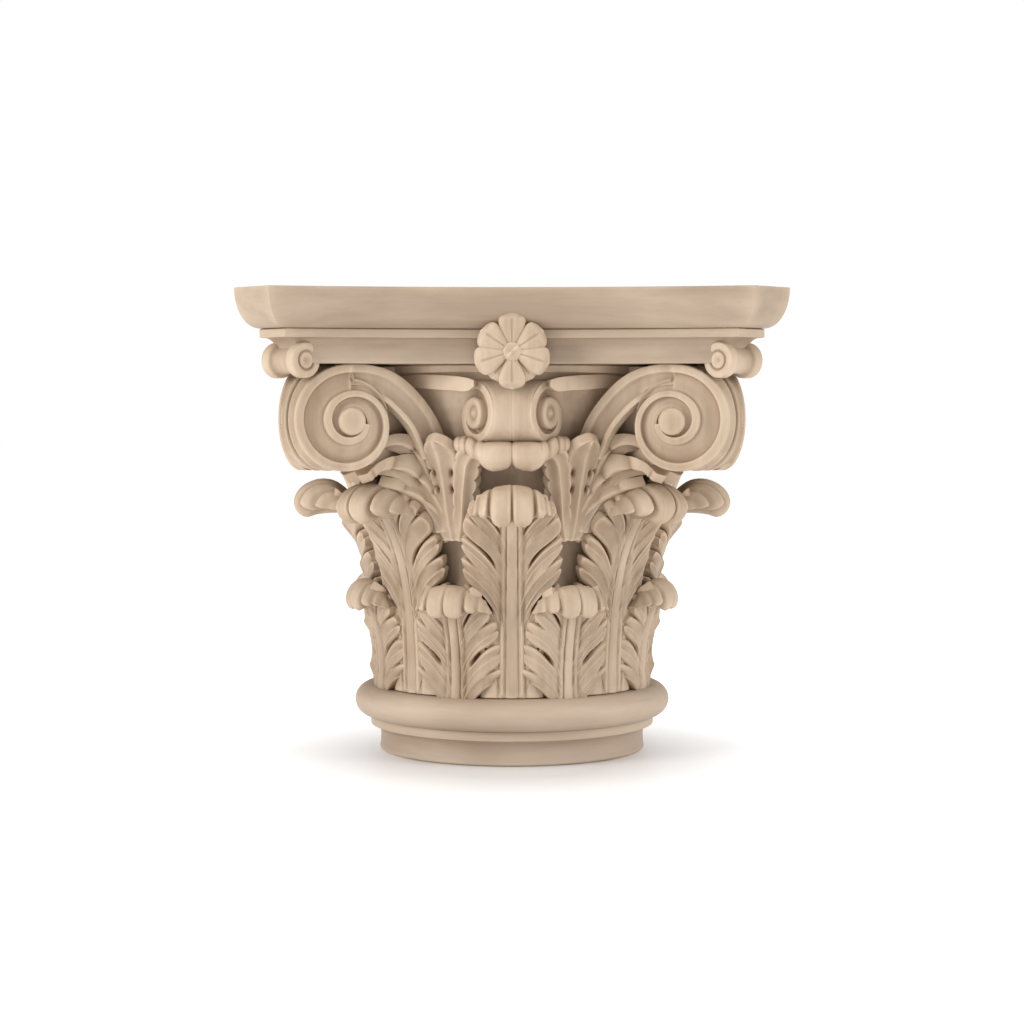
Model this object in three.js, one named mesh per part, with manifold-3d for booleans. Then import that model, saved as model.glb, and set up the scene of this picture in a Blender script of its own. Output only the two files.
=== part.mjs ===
// Corinthian capital in carved wood, 300 mm high, millimetres, +Z up.
// The front faces -Y. The origin is the centre of the underside of the neck ring.
// Turned neck ring, carved bell with two rows of eight acanthus leaves, stalk leaves, corner volutes and small
// inner scrolls in one solid, moulded abacus board, four planted rosettes and four corner spools.
import * as THREE from "three";
import { mergeVertices } from "three/addons/utils/BufferGeometryUtils.js";
import Module from "manifold-3d";

const wasm = await Module();
wasm.setup();

// ---- driving dimensions ----
const HEIGHT = 300; // underside of neck to top of abacus
const GAP = 0.3; // between pieces that touch
// neck ring
const NECK_R = 89;
const NECK_TOP = 16.5;
const FILLET_R = 95;
const TORUS_LOW = 22.6;
const RING_TOP = 43.3;
const TORUS_R = 105.5;
// bell
const BELL_FOOT_R = 85.5;
const BELL_LIP_R = 118.5;
const BELL_TOP = 254.1;
// leaves
const LEAVES = 8;
const SHORT_LEAF = { tipR: 115, top: 116, bodyHalf: 29, curlHalf: 21 };
const TALL_LEAF = { tipR: 146, top: 180.4, bodyHalf: 34, curlHalf: 27 };
// corner volutes: eye on the face plane, along the diagonal and square to it
const EYE_S = 162;
const EYE_V = 23.6;
const EYE_Z = 219.2;
const FACE_TILT = THREE.MathUtils.degToRad(25.3);
const VOLUTE_TOP_R = 34.9;
// inner scrolls beside the middle of each side
const HELIX_EYE = { x: 23.3, y: 116.6, z: 224 };
const HELIX_TILT = THREE.MathUtils.degToRad(51.5);
// abacus
const ABACUS_LOW = BELL_TOP + GAP;
const FRIEZE_TOP = 265.5;
const FILLET_LOW = 270;
const FILLET_TOP = 275.4;
const SAGITTA = 19; // hollow of each side
const TOP_CORNER = [144.2, 167.7]; // [along the side, out from the axis]
const FILLET_CORNER = [136, 153.4];
const FRIEZE_CORNER = [130, 145];
// rosettes
const ROSETTE_R = 24;
const ROSETTE_Z = 261.5;
const ROSETTE_BACK = 131.6;
const ROSETTE_FRONT = 148;
// corner spools
const SPOOL_S = 190.6;
const SPOOL_Z = 256.3;
const SPOOL_R = 10.8;
const SPOOL_HALF = 15.5;

const DEG = Math.PI / 180;
const lerp = THREE.MathUtils.lerp;

// ---- solids ----
function solid(geometry) {
  const g = geometry.clone();
  g.deleteAttribute("normal");
  g.deleteAttribute("uv");
  const m = mergeVertices(g, 1e-3);
  return new wasm.Manifold(
    new wasm.Mesh({
      numProp: 3,
      vertProperties: new Float32Array(m.attributes.position.array),
      triVerts: new Uint32Array(m.index.array),
    }),
  );
}

function geometryOf(manifold) {
  const m = manifold.getMesh();
  const points = new Float32Array((m.vertProperties.length / m.numProp) * 3);
  for (let i = 0; i < points.length / 3; i++)
    for (let k = 0; k < 3; k++) points[3 * i + k] = m.vertProperties[m.numProp * i + k];
  const g = new THREE.BufferGeometry();
  g.setAttribute("position", new THREE.BufferAttribute(points, 3));
  g.setIndex(new THREE.BufferAttribute(new Uint32Array(m.triVerts), 1));
  return g;
}

// a closed shell between two grids of the same size: front(i, j) and back(i, j), i across, j along
function shell(front, back, across, along) {
  const points = [];
  const faces = [];
  const row = across + 1;
  for (const side of [front, back])
    for (let j = 0; j <= along; j++)
      for (let i = 0; i <= across; i++) points.push(...side(i, j));
  const half = row * (along + 1);
  const at = (s, i, j) => s * half + j * row + i;
  const quad = (a, b, c, d) => faces.push(a, b, c, a, c, d);
  for (let j = 0; j < along; j++)
    for (let i = 0; i < across; i++) {
      quad(at(0, i, j), at(0, i + 1, j), at(0, i + 1, j + 1), at(0, i, j + 1));
      quad(at(1, i, j), at(1, i, j + 1), at(1, i + 1, j + 1), at(1, i + 1, j));
    }
  for (let j = 0; j < along; j++) {
    quad(at(0, 0, j), at(0, 0, j + 1), at(1, 0, j + 1), at(1, 0, j));
    quad(at(0, across, j + 1), at(0, across, j), at(1, across, j), at(1, across, j + 1));
  }
  for (let i = 0; i < across; i++) {
    quad(at(0, i + 1, 0), at(0, i, 0), at(1, i, 0), at(1, i + 1, 0));
    quad(at(0, i, along), at(0, i + 1, along), at(1, i + 1, along), at(1, i, along));
  }
  const g = new THREE.BufferGeometry();
  g.setAttribute("position", new THREE.Float32BufferAttribute(points, 3));
  g.setIndex(faces);
  const made = solid(g);
  if (made.volume() > 0) return made;
  for (let k = 0; k < faces.length; k += 3) [faces[k + 1], faces[k + 2]] = [faces[k + 2], faces[k + 1]];
  g.setIndex(faces);
  return solid(g);
}

// a closed skin over rings of points (each ring is a closed loop), with flat ends
function loft(rings) {
  const n = rings[0].length;
  const points = rings.flat(2);
  const faces = [];
  for (let k = 0; k + 1 < rings.length; k++)
    for (let i = 0; i < n; i++) {
      const a = k * n + i;
      const b = k * n + ((i + 1) % n);
      faces.push(a, b, b + n, a, b + n, a + n);
    }
  const middle = (ring) => [0, 1, 2].map((k) => ring.reduce((sum, p) => sum + p[k], 0) / n);
  const low = points.length / 3;
  points.push(...middle(rings[0]), ...middle(rings[rings.length - 1]));
  const last = (rings.length - 1) * n;
  for (let i = 0; i < n; i++) {
    const b = (i + 1) % n;
    faces.push(b, i, low, last + i, last + b, low + 1);
  }
  const g = new THREE.BufferGeometry();
  g.setAttribute("position", new THREE.Float32BufferAttribute(points, 3));
  g.setIndex(faces);
  const made = solid(g);
  if (made.volume() > 0) return made;
  for (let k = 0; k < faces.length; k += 3) [faces[k + 1], faces[k + 2]] = [faces[k + 2], faces[k + 1]];
  g.setIndex(faces);
  return solid(g);
}

function turned(profile, segments) {
  const g = new THREE.LatheGeometry(
    profile.map(([r, z]) => new THREE.Vector2(r, z)),
    segments,
  );
  g.rotateX(Math.PI / 2);
  const made = solid(g);
  if (made.volume() > 0) return made;
  const back = new THREE.LatheGeometry(
    profile.map(([r, z]) => new THREE.Vector2(r, z)).reverse(),
    segments,
  );
  back.rotateX(Math.PI / 2);
  return solid(back);
}

const curve = (pairs) => {
  const c = new THREE.SplineCurve(pairs.map(([a, b]) => new THREE.Vector2(a, b)));
  return (t) => {
    const p = c.getPoint(t);
    const d = c.getTangent(Math.min(Math.max(t, 1e-4), 1 - 1e-4));
    return { r: p.x, z: p.y, nr: d.y, nz: -d.x };
  };
};

// azimuth is measured from the front (-Y) toward +X
const place = (azimuth, r, z) => [r * Math.sin(azimuth), -r * Math.cos(azimuth), z];
const turn = (m, degrees) => m.rotate([0, 0, degrees]);
const mirrorX = (m) => m.mirror([1, 0, 0]);
const around = (m, angles) => angles.map((a) => turn(m, a));

// ---- neck ring ----
const torusMid = (TORUS_LOW + RING_TOP) / 2;
const torusHalf = (RING_TOP - TORUS_LOW) / 2;
const torusPoints = [];
for (let k = 0; k <= 5; k++) {
  const a = (-90 + (180 * k) / 5) * DEG;
  torusPoints.push([TORUS_R - torusHalf + torusHalf * Math.cos(a), torusMid + torusHalf * Math.sin(a)]);
}
const neckRing = turned(
  [[0, 0], [NECK_R, 0], [NECK_R - 0.8, 2], [NECK_R - 0.8, NECK_TOP - 3], [NECK_R + 1.2, NECK_TOP],
    [FILLET_R, NECK_TOP], [FILLET_R, TORUS_LOW], ...torusPoints, [0, RING_TOP]],
  32,
);

// ---- acanthus leaves ----
const COLUMNS = [-1, -0.35, 0.35, 1];

// rows of a leaf: a notch, a belly and a tip for each lobe, then the rolled-over top
function leafRows(from, to, lobes, curl) {
  const rows = [];
  for (let k = 0; k < lobes; k++) {
    const a = lerp(from, to, k / lobes);
    const b = lerp(from, to, (k + 1) / lobes);
    rows.push({ v: a, cut: k ? 0.26 : 0.12 }, { v: lerp(a, b, 0.45), cut: 0 }, { v: lerp(a, b, 0.88), cut: 0.05 });
  }
  rows.push({ v: to, cut: 0.24 });
  for (const v of curl) rows.push({ v, cut: 0 });
  return rows;
}

function leaf(centre, rows, halfAt, thickAt, curlFrom) {
  const point = (side) => (i, j) => {
    const { v, cut } = rows[j];
    const u = COLUMNS[i];
    const p = centre(v);
    const x = u * halfAt(v) * (1 - cut);
    const rib = Math.abs(u) < 0.8 ? 1.1 : -1.2;
    const over = Math.max(0, (v - curlFrom) / (1 - curlFrom));
    const relief = side > 0 ? rib * (1 - over) : -0.4 * over;
    const off = (side * thickAt(v)) / 2 + relief;
    const fall = over * 5 * u * u + (side > 0 ? 0 : 0);
    const r = p.r + p.nr * off - fall;
    const z = p.z + p.nz * off - over * 3.5 * u * u;
    return place(x / Math.max(p.r, 60), r, z);
  };
  return shell(point(1), point(-1), COLUMNS.length - 1, rows.length - 1);
}

const FOOT = RING_TOP + GAP;
const shortCentre = curve([
  [90, FOOT], [89.5, 58], [91, 74], [94, 88], [97.5, 99], [102, 108.5], [107, 112], [110.8, 108.5], [111.6, 102], [110.6, 98],
]);
const shortHalf = (v) =>
  v < 0.5 ? lerp(20, SHORT_LEAF.bodyHalf, Math.min(1, v / 0.22)) : lerp(SHORT_LEAF.bodyHalf, SHORT_LEAF.curlHalf, Math.min(1, (v - 0.5) / 0.2)) * (v > 0.9 ? 0.82 : 1);
const shortLeaf = leaf(
  shortCentre,
  leafRows(0, 0.55, 2, [0.68, 0.82, 1]),
  shortHalf,
  (v) => (v > 0.95 ? 5 : 7.5),
  0.6,
);

const tallCentre = curve([
  [87.5, FOOT], [88, 70], [90, 95], [93.3, 116], [97.8, 133], [104, 147.5], [110.5, 159], [118, 169.5], [127.5, 175.8],
  [136.6, 172.6], [141.2, 165], [140.4, 158.5],
]);
const tallHalf = (v) =>
  v < 0.2 ? 15 : v < 0.36 ? lerp(15, TALL_LEAF.bodyHalf, (v - 0.2) / 0.16) : lerp(TALL_LEAF.bodyHalf, TALL_LEAF.curlHalf, Math.min(1, (v - 0.36) / 0.28)) * (v > 0.94 ? 0.84 : 1);
const tallLeaf = leaf(
  tallCentre,
  [{ v: 0, cut: 0 }, ...leafRows(0.24, 0.55, 2, [0.7, 0.84, 1])],
  tallHalf,
  (v) => (v > 0.95 ? 6 : 8.5),
  0.62,
);

// ---- bell ----
const bell = turned(
  [[0, FOOT], [BELL_FOOT_R, FOOT], [BELL_FOOT_R, 112], [92, 160], [106, 214],
    [BELL_LIP_R, 248], [BELL_LIP_R, BELL_TOP], [0, BELL_TOP]],
  24,
);

// ---- stalk leaves at the half-angles: an upright middle leaf, a branch toward the corner, a branch toward the centre ----
function sprig(from, path, half, thick, across = 2, along = 5) {
  // path(t) gives azimuth (radians), radius, height; the blade stands across the path
  const point = (side) => (i, j) => {
    const t = j / along;
    const p = path(t);
    const q = path(Math.min(1, t + 0.02));
    const o = path(Math.max(0, t - 0.02));
    const along_ = [(q[0] - o[0]) * p[1], q[2] - o[2]];
    const len = Math.hypot(...along_) || 1;
    const across_ = [along_[1] / len, -along_[0] / len];
    const u = (2 * i) / across - 1;
    const w = half(t) * u;
    const bow = (1 - u * u) * 1.5;
    return place(p[0] + (across_[0] * w) / p[1], p[1] + side * thick / 2 + side * bow, p[2] + across_[1] * w);
  };
  return shell(point(1), point(-1), across, along);
}
const mid = 22.5 * DEG;
const uprightLeaf = sprig(
  0,
  (t) => [mid, lerp(93, 115, t) + 3 * t * t, lerp(128, 206, t)],
  (t) => lerp(3.5, 10.5, Math.min(1, t * 1.15)) * (t > 0.95 ? 0.85 : 1),
  7,
  2,
  4,
);
const cornerBranch = sprig(
  0,
  (t) => [mid + (5 + 15 * t * t) * DEG, lerp(97, 132, t * t * 0.5 + t * 0.5), 140 + 62 * Math.sin(t * 1.75) - 6 * t * t],
  (t) => lerp(4, 11, Math.sin(Math.min(1, t * 1.2) * Math.PI * 0.5)),
  8,
  2,
  3,
);
const centreBranch = sprig(
  0,
  (t) => [mid - (3 + 11 * t * t) * DEG, lerp(97, 122, t), 140 + 60 * Math.sin(t * 1.5)],
  (t) => lerp(4, 9, t),
  8,
  2,
  3,
);

// lobed lips in the middle of each side, under the inner scrolls
function lobe(x, y, z, rx, ry, rz) {
  const g = new THREE.SphereGeometry(1, 6, 4);
  g.rotateX(Math.PI / 2);
  g.scale(rx, ry, rz);
  g.translate(x, y, z);
  return solid(g);
}
const lips = [lobe(11.4, -117, 198, 12, 15.5, 10), lobe(31, -112.5, 203.5, 13, 12, 7)];
const lipRoot = loft(
  [[-96, 168, 22], [-104, 186, 27], [-112, 203.5, 32]].map(([y, z, half]) => [
    [0, y - 3, z], [half, y, z], [half, y + 14, z + 3], [0, y + 14, z + 3],
  ]),
);

// ---- scrolls ----
// radius of the outer edge of a scroll, by angle from the start, shrinking turn by turn
function scrollRadius(turnsIn) {
  const table = [VOLUTE_TOP_R, 35.6, 29.9, 23.5, 18.9, 17.4, 14, 10.4, 7.9, 6.2];
  const k = Math.min(turnsIn * 4, table.length - 1);
  const low = Math.min(Math.floor(k), table.length - 2);
  return lerp(table[low], table[low + 1], k - low);
}
// corner frame: the face of the volute that looks toward the middle of the front, right-hand corner
const diagonal = [Math.SQRT1_2, -Math.SQRT1_2];
const squareTo = [-Math.SQRT1_2, -Math.SQRT1_2];
function onFace(a, b, n) {
  const s = EYE_S + a * Math.cos(FACE_TILT) + n * Math.sin(FACE_TILT);
  const v = EYE_V - a * Math.sin(FACE_TILT) + n * Math.cos(FACE_TILT);
  return [s * diagonal[0] + v * squareTo[0], s * diagonal[1] + v * squareTo[1], EYE_Z + b];
}
function onDiagonal(a, b, v) {
  const s = EYE_S + a * Math.cos(FACE_TILT);
  return [s * diagonal[0] + v * squareTo[0], s * diagonal[1] + v * squareTo[1], EYE_Z + b];
}
const FLOOR = -3.4; // channel floor below the rims
// the face is one skin: the outer rim, the channel, the inner turn of the rim and the eye
const SPOKES = 11;
const VOLUTE_PROFILE = [
  // [turns further in, inset from that turn's edge, height]
  [0, 0, 0],
  [0, 5.4, 0],
  [0, 7, FLOOR],
  [1, 0, 0],
  [1, 3.8, 0],
];
const spoke = (k, radius) => {
  const angle = Math.PI / 2 - (k / SPOKES) * 2 * Math.PI;
  return [radius * Math.cos(angle), radius * Math.sin(angle)];
};
const spokes = (ring) => Array.from({ length: SPOKES }, (_, k) => ring(k, k / SPOKES));
const outerRadius = (q) => (q > 0.75 ? lerp(scrollRadius(0.75), 26, (q - 0.75) / 0.25) : scrollRadius(q));
const volute = loft([
  spokes((k, q) => {
    const [a, b] = spoke(k, outerRadius(q));
    return onDiagonal(a * 0.95, b * 0.95, -0.4);
  }),
  ...VOLUTE_PROFILE.map(([turns, inset, n]) =>
    spokes((k, q) => onFace(...spoke(k, Math.max(6.2, (turns ? scrollRadius(q + 1) : outerRadius(q)) - inset)), n)),
  ),
  spokes((k) => onFace(...spoke(k, 5.6), 0)),
]);
// channelled strap that rises from the stalk leaves and runs over the top of the volute
const outerEdge = curve([[-63.5, -13], [-55.8, 3.3], [-45.9, 15.7], [-34.9, 25.4], [-23.4, 31.8], [-11.2, 34.3], [0, VOLUTE_TOP_R]]);
const innerEdge = curve([[-45.7, -18.5], [-42, -10], [-37.5, -2.5], [-28.3, 6.7], [-18.8, 13.5], [-9.5, 20.5], [0, 24]]);
const strap = loft(
  Array.from({ length: 5 }, (_, k) => {
    const t = k / 4;
    const o = outerEdge(t);
    const i = innerEdge(t);
    const back = lerp(-7.5, 0, Math.min(1, t * 1.4));
    const mix = (w, n) => onFace(lerp(i.r, o.r, w), lerp(i.z, o.z, w), n + back);
    return [mix(0, 0), mix(0.45, -3), mix(0.7, 0), mix(1, 0), mix(1, -12), mix(0, -12)];
  }),
);
// core that carries the corner out from the bell to the volutes
const core = loft(
  [[80, 20, 196], [112, 21, 190], [146, 16, 204]].map(([s, v, z]) => [
    [s, -v, z], [s, v, z], [s, v, BELL_TOP - 3], [s, -v, BELL_TOP - 3],
  ].map(([ss, vv, zz]) => [ss * diagonal[0] + vv * squareTo[0], ss * diagonal[1] + vv * squareTo[1], zz])),
);

// inner scroll on the right of the middle of the front
function onHelix(a, b, n) {
  const x = HELIX_EYE.x - a * Math.cos(HELIX_TILT) + n * Math.sin(HELIX_TILT);
  const y = -HELIX_EYE.y - a * Math.sin(HELIX_TILT) - n * Math.cos(HELIX_TILT);
  return [x, y, HELIX_EYE.z + b];
}
const helixRadius = (q) => {
  const table = [20, 18.5, 17.6, 13, 9.2, 8, 7];
  const k = Math.min(q * 4, table.length - 1);
  const low = Math.min(Math.floor(k), table.length - 2);
  return lerp(table[low], table[low + 1], k - low);
};
const HELIX_SPOKES = 8;
const helixSpoke = (k, radius) => {
  const angle = Math.PI / 2 - (k / HELIX_SPOKES) * 2 * Math.PI;
  return [radius * Math.cos(angle), radius * Math.sin(angle)];
};
const helixEdge = (q) => (q > 0.75 ? lerp(13, 18.4, (q - 0.75) / 0.25) : Math.min(helixRadius(q), 18.6));
const helixSpokes = (ring) => Array.from({ length: HELIX_SPOKES }, (_, k) => ring(k, k / HELIX_SPOKES));
const helix = loft([
  helixSpokes((k, q) => {
    const [a, b] = helixSpoke(k, helixEdge(q));
    const p = onHelix(a * 0.96, b * 0.97, -3);
    return [-0.3, p[1], p[2]];
  }),
  helixSpokes((k, q) => onHelix(...helixSpoke(k, helixEdge(q)), 0)),
  helixSpokes((k, q) => onHelix(...helixSpoke(k, helixEdge(q) - 4.4), 0)),
  helixSpokes((k, q) => onHelix(...helixSpoke(k, lerp(helixEdge(q) - 5, 8.2, q < 0.75 ? 0.25 : 0.1)), -4)),
  helixSpokes((k) => onHelix(...helixSpoke(k, 7.4), -2)),
]);
const helixStrap = loft(
  [[66, -99, 247.5, 240], [36, -118, 247, 238.5], [26, -124, 244.5, 236], [18, -130, 241.5, 236]].map(([x, y, top, low]) => [
    [x, y, top], [x, y, low], [x - 4, y + 14, low], [x - 4, y + 14, top],
  ]),
);

// ---- corner spool ----
const spoolHalfProfile = [
  [0, -SPOOL_HALF], [SPOOL_R, -SPOOL_HALF], [SPOOL_R, -SPOOL_HALF + 7], [SPOOL_R - 2.6, -SPOOL_HALF + 9.5],
  [SPOOL_R - 2.6, SPOOL_HALF - 9.5], [SPOOL_R, SPOOL_HALF - 7], [SPOOL_R, SPOOL_HALF], [0, SPOOL_HALF],
];
function spool() {
  // axis from +Z to the line square to the diagonal of the front right corner
  return turned(spoolHalfProfile, 12).rotate([90, 0, 0]).rotate([0, 0, 45]).translate([SPOOL_S * Math.SQRT1_2, -SPOOL_S * Math.SQRT1_2, SPOOL_Z]);
}
const spoolSolid = spool();
const spoolPocket = turned([[0, -20], [SPOOL_R + 0.7, -20], [SPOOL_R + 0.7, 20], [0, 20]], 12)
  .rotate([90, 0, 0]).rotate([0, 0, 45]).translate([SPOOL_S * Math.SQRT1_2, -SPOOL_S * Math.SQRT1_2, SPOOL_Z]);

// ---- rosette ----
const PETALS = [[90, 24], [34, 22.5], [-18, 23.2], [-49, 19.5], [-90, 22.6], [229, 19.5], [198, 23.2], [146, 22.5]]; // [angle, reach]
function rosetteRing(scale, y, notch) {
  const ring = [];
  PETALS.forEach(([angle, reach], k) => {
    const [next] = PETALS[(k + 1) % PETALS.length];
    const gapAngle = ((angle - next + 360) % 360) / 2;
    const inner = 16.5;
    const add = (a, r) => ring.push([r * scale * Math.cos(a * DEG), y, ROSETTE_Z + r * scale * Math.sin(a * DEG)]);
    add(angle + 9, reach);
    add(angle - 9, reach);
    add(angle - gapAngle, inner * notch);
  });
  return ring;
}
function rosette() {
  const petals = loft([
    rosetteRing(1, -ROSETTE_BACK, 1),
    rosetteRing(1, -(ROSETTE_FRONT - 3.4), 1),
    rosetteRing(0.86, -(ROSETTE_FRONT - 0.4), 0.9),
    rosetteRing(0.3, -(ROSETTE_FRONT - 3.4), 1),
  ]);
  const boss = lobe(0, -(ROSETTE_FRONT - 3.5), ROSETTE_Z, 5.6, 4.4, 5.6);
  return petals.add(boss);
}
const rosetteSolid = rosette();
const rosettePocket = loft(
  [ROSETTE_BACK - GAP, ROSETTE_FRONT + 12].map((y) =>
    Array.from({ length: 16 }, (_, k) => [24.9 * Math.cos((k * Math.PI) / 8), -y, ROSETTE_Z + 24.9 * Math.sin((k * Math.PI) / 8)]),
  ),
);

// ---- carved bell: everything cut from the one block ----
const half = [uprightLeaf, cornerBranch, centreBranch, ...lips, lipRoot, volute, strap, helix, helixStrap].map((m) => m.simplify(0.1));
const oneSide = wasm.Manifold.union([...half, ...half.map(mirrorX), core]);
let carved = wasm.Manifold.union([
  bell,
  ...around(shortLeaf, Array.from({ length: LEAVES }, (_, k) => 22.5 + k * 45)),
  ...around(tallLeaf, Array.from({ length: LEAVES }, (_, k) => k * 45)),
  ...around(oneSide, [0, 90, 180, 270]),
]);
const slab = (low, high) => wasm.Manifold.cube([400, 400, high - low], true).translate([0, 0, (low + high) / 2]);
carved = carved.intersect(slab(FOOT, BELL_TOP));
for (const angle of [0, 90, 180, 270]) carved = carved.subtract(turn(rosettePocket, angle)).subtract(turn(spoolPocket, angle));
carved = carved.simplify(2);
// the largest body is the capital; nothing else is left loose
carved = carved.decompose().sort((a, b) => b.volume() - a.volume())[0];

// ---- abacus ----
function abacusRing(corner, z) {
  const [near, far] = corner;
  const ring = [];
  for (const angle of [0, 90, 180, 270])
    for (let k = 0; k <= 6; k++) {
      const x = lerp(-near, near, k / 6);
      const y = -(far - SAGITTA * (1 - (x / near) ** 2));
      const c = Math.cos(angle * DEG);
      const s = Math.sin(angle * DEG);
      ring.push([x * c - y * s, x * s + y * c, z]);
    }
  return ring;
}
const mixCorner = (a, b, t) => [lerp(a[0], b[0], t), lerp(a[1], b[1], t)];
const levels = [
  [FRIEZE_CORNER, ABACUS_LOW], [FRIEZE_CORNER, FRIEZE_TOP],
  [mixCorner(FRIEZE_CORNER, FILLET_CORNER, 0.2), FRIEZE_TOP + 2.2],
  [mixCorner(FRIEZE_CORNER, FILLET_CORNER, 0.75), FILLET_LOW],
  [FILLET_CORNER, FILLET_LOW], [FILLET_CORNER, FILLET_TOP],
];
for (let k = 0; k <= 4; k++) {
  const t = k / 4;
  levels.push([
    mixCorner(mixCorner(FILLET_CORNER, TOP_CORNER, 0.12), TOP_CORNER, Math.sin((t * Math.PI) / 2)),
    lerp(FILLET_TOP, HEIGHT, 1 - Math.cos((t * Math.PI) / 2)) + (k ? 0 : 0.01),
  ]);
}
let abacus = loft(levels.map(([corner, z]) => abacusRing(corner, z)));
for (const angle of [0, 90, 180, 270]) abacus = abacus.subtract(turn(rosettePocket, angle)).subtract(turn(spoolPocket, angle));

// ---- the part ----
const wood = {
  carving: new THREE.MeshStandardMaterial({ name: "carved_wood", color: 0xcbb39a, roughness: 0.62 }),
  board: new THREE.MeshStandardMaterial({ name: "abacus_wood", color: 0xbfa88f, roughness: 0.6 }),
  ring: new THREE.MeshStandardMaterial({ name: "ring_wood", color: 0xc0a78c, roughness: 0.6 }),
};
const group = new THREE.Group();
group.name = "corinthian_capital";
function add(name, manifold, material) {
  const mesh = new THREE.Mesh(geometryOf(manifold), material);
  mesh.name = name;
  group.add(mesh);
}
add("neck_ring", neckRing, wood.ring);
add("carved_bell", carved, wood.carving);
add("abacus", abacus, wood.board);
["front", "right", "back", "left"].forEach((side, k) => add(`rosette_${side}`, turn(rosetteSolid, k * 90), wood.carving));
["front_right", "back_right", "back_left", "front_left"].forEach((corner, k) =>
  add(`corner_roll_${corner}`, turn(spoolSolid, k * 90), wood.carving),
);

export default group;
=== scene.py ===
import math

import bpy
import numpy as np
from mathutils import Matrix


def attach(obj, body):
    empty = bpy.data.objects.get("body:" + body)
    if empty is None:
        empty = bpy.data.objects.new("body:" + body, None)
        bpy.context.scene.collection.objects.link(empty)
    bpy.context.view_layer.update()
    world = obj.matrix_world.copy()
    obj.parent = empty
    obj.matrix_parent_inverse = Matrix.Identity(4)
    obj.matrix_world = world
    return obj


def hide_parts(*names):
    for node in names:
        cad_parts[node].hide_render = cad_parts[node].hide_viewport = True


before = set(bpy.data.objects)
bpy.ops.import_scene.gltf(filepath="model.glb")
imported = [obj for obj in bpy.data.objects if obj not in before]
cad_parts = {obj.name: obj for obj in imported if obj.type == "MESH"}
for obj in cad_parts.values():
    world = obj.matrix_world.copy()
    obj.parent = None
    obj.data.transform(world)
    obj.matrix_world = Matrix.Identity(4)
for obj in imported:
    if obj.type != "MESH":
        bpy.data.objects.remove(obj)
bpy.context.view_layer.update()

MM = 0.001
RAD = math.pi / 180

# ------------------------------------------------------------------ camera
cam_data = bpy.data.cameras.new("camera")
cam_data.sensor_width = 36
cam_data.lens = 75.9
cam = bpy.data.objects.new("camera", cam_data)
bpy.context.scene.collection.objects.link(cam)
cam.location = (0.0, -1.4515, 0.2251)
cam.rotation_euler = (math.radians(90 - 2.66), 0, 0)
cam_data.dof.use_dof = False
bpy.context.scene.camera = cam


# ------------------------------------------------------------------ mesh kit
def spline(pairs):
    """A smooth curve through points of any width, by arc length, as a function of 0..1."""
    p = np.array(pairs, float)
    ext = np.vstack([2 * p[0] - p[1], p, 2 * p[-1] - p[-2]])
    fine = []
    for k in range(len(p) - 1):
        a, b, c, d = ext[k : k + 4]
        t = np.linspace(0, 1, 24, endpoint=False)[:, None]
        fine.append(
            0.5
            * (
                2 * b
                + (c - a) * t
                + (2 * a - 5 * b + 4 * c - d) * t**2
                + (3 * b - a - 3 * c + d) * t**3
            )
        )
    fine = np.vstack(fine + [p[-1:]])
    step = np.r_[0, np.cumsum(np.linalg.norm(np.diff(fine, axis=0), axis=1))]
    length = step[-1]

    def at(s):
        s = np.clip(np.asarray(s, float), 0, 1) * length
        return np.stack([np.interp(s, step, fine[:, k]) for k in range(fine.shape[1])], axis=-1)

    at.length = length
    return at


def normals(curve, s, e=0.004):
    """Outward normals of an (r, z) curve that rises: to the right of its way."""
    d = curve(np.clip(s + e, 0, 1)) - curve(np.clip(s - e, 0, 1))
    d /= np.maximum(np.linalg.norm(d, axis=-1, keepdims=True), 1e-9)
    return np.stack([d[..., 1], -d[..., 0]], axis=-1)


def place(az, r, z):
    return np.stack([r * np.sin(az), -r * np.cos(az), z + 0 * az], axis=-1)


def smooth(x, a, b):
    t = np.clip((x - a) / (b - a), 0, 1)
    return t * t * (3 - 2 * t)


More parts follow.
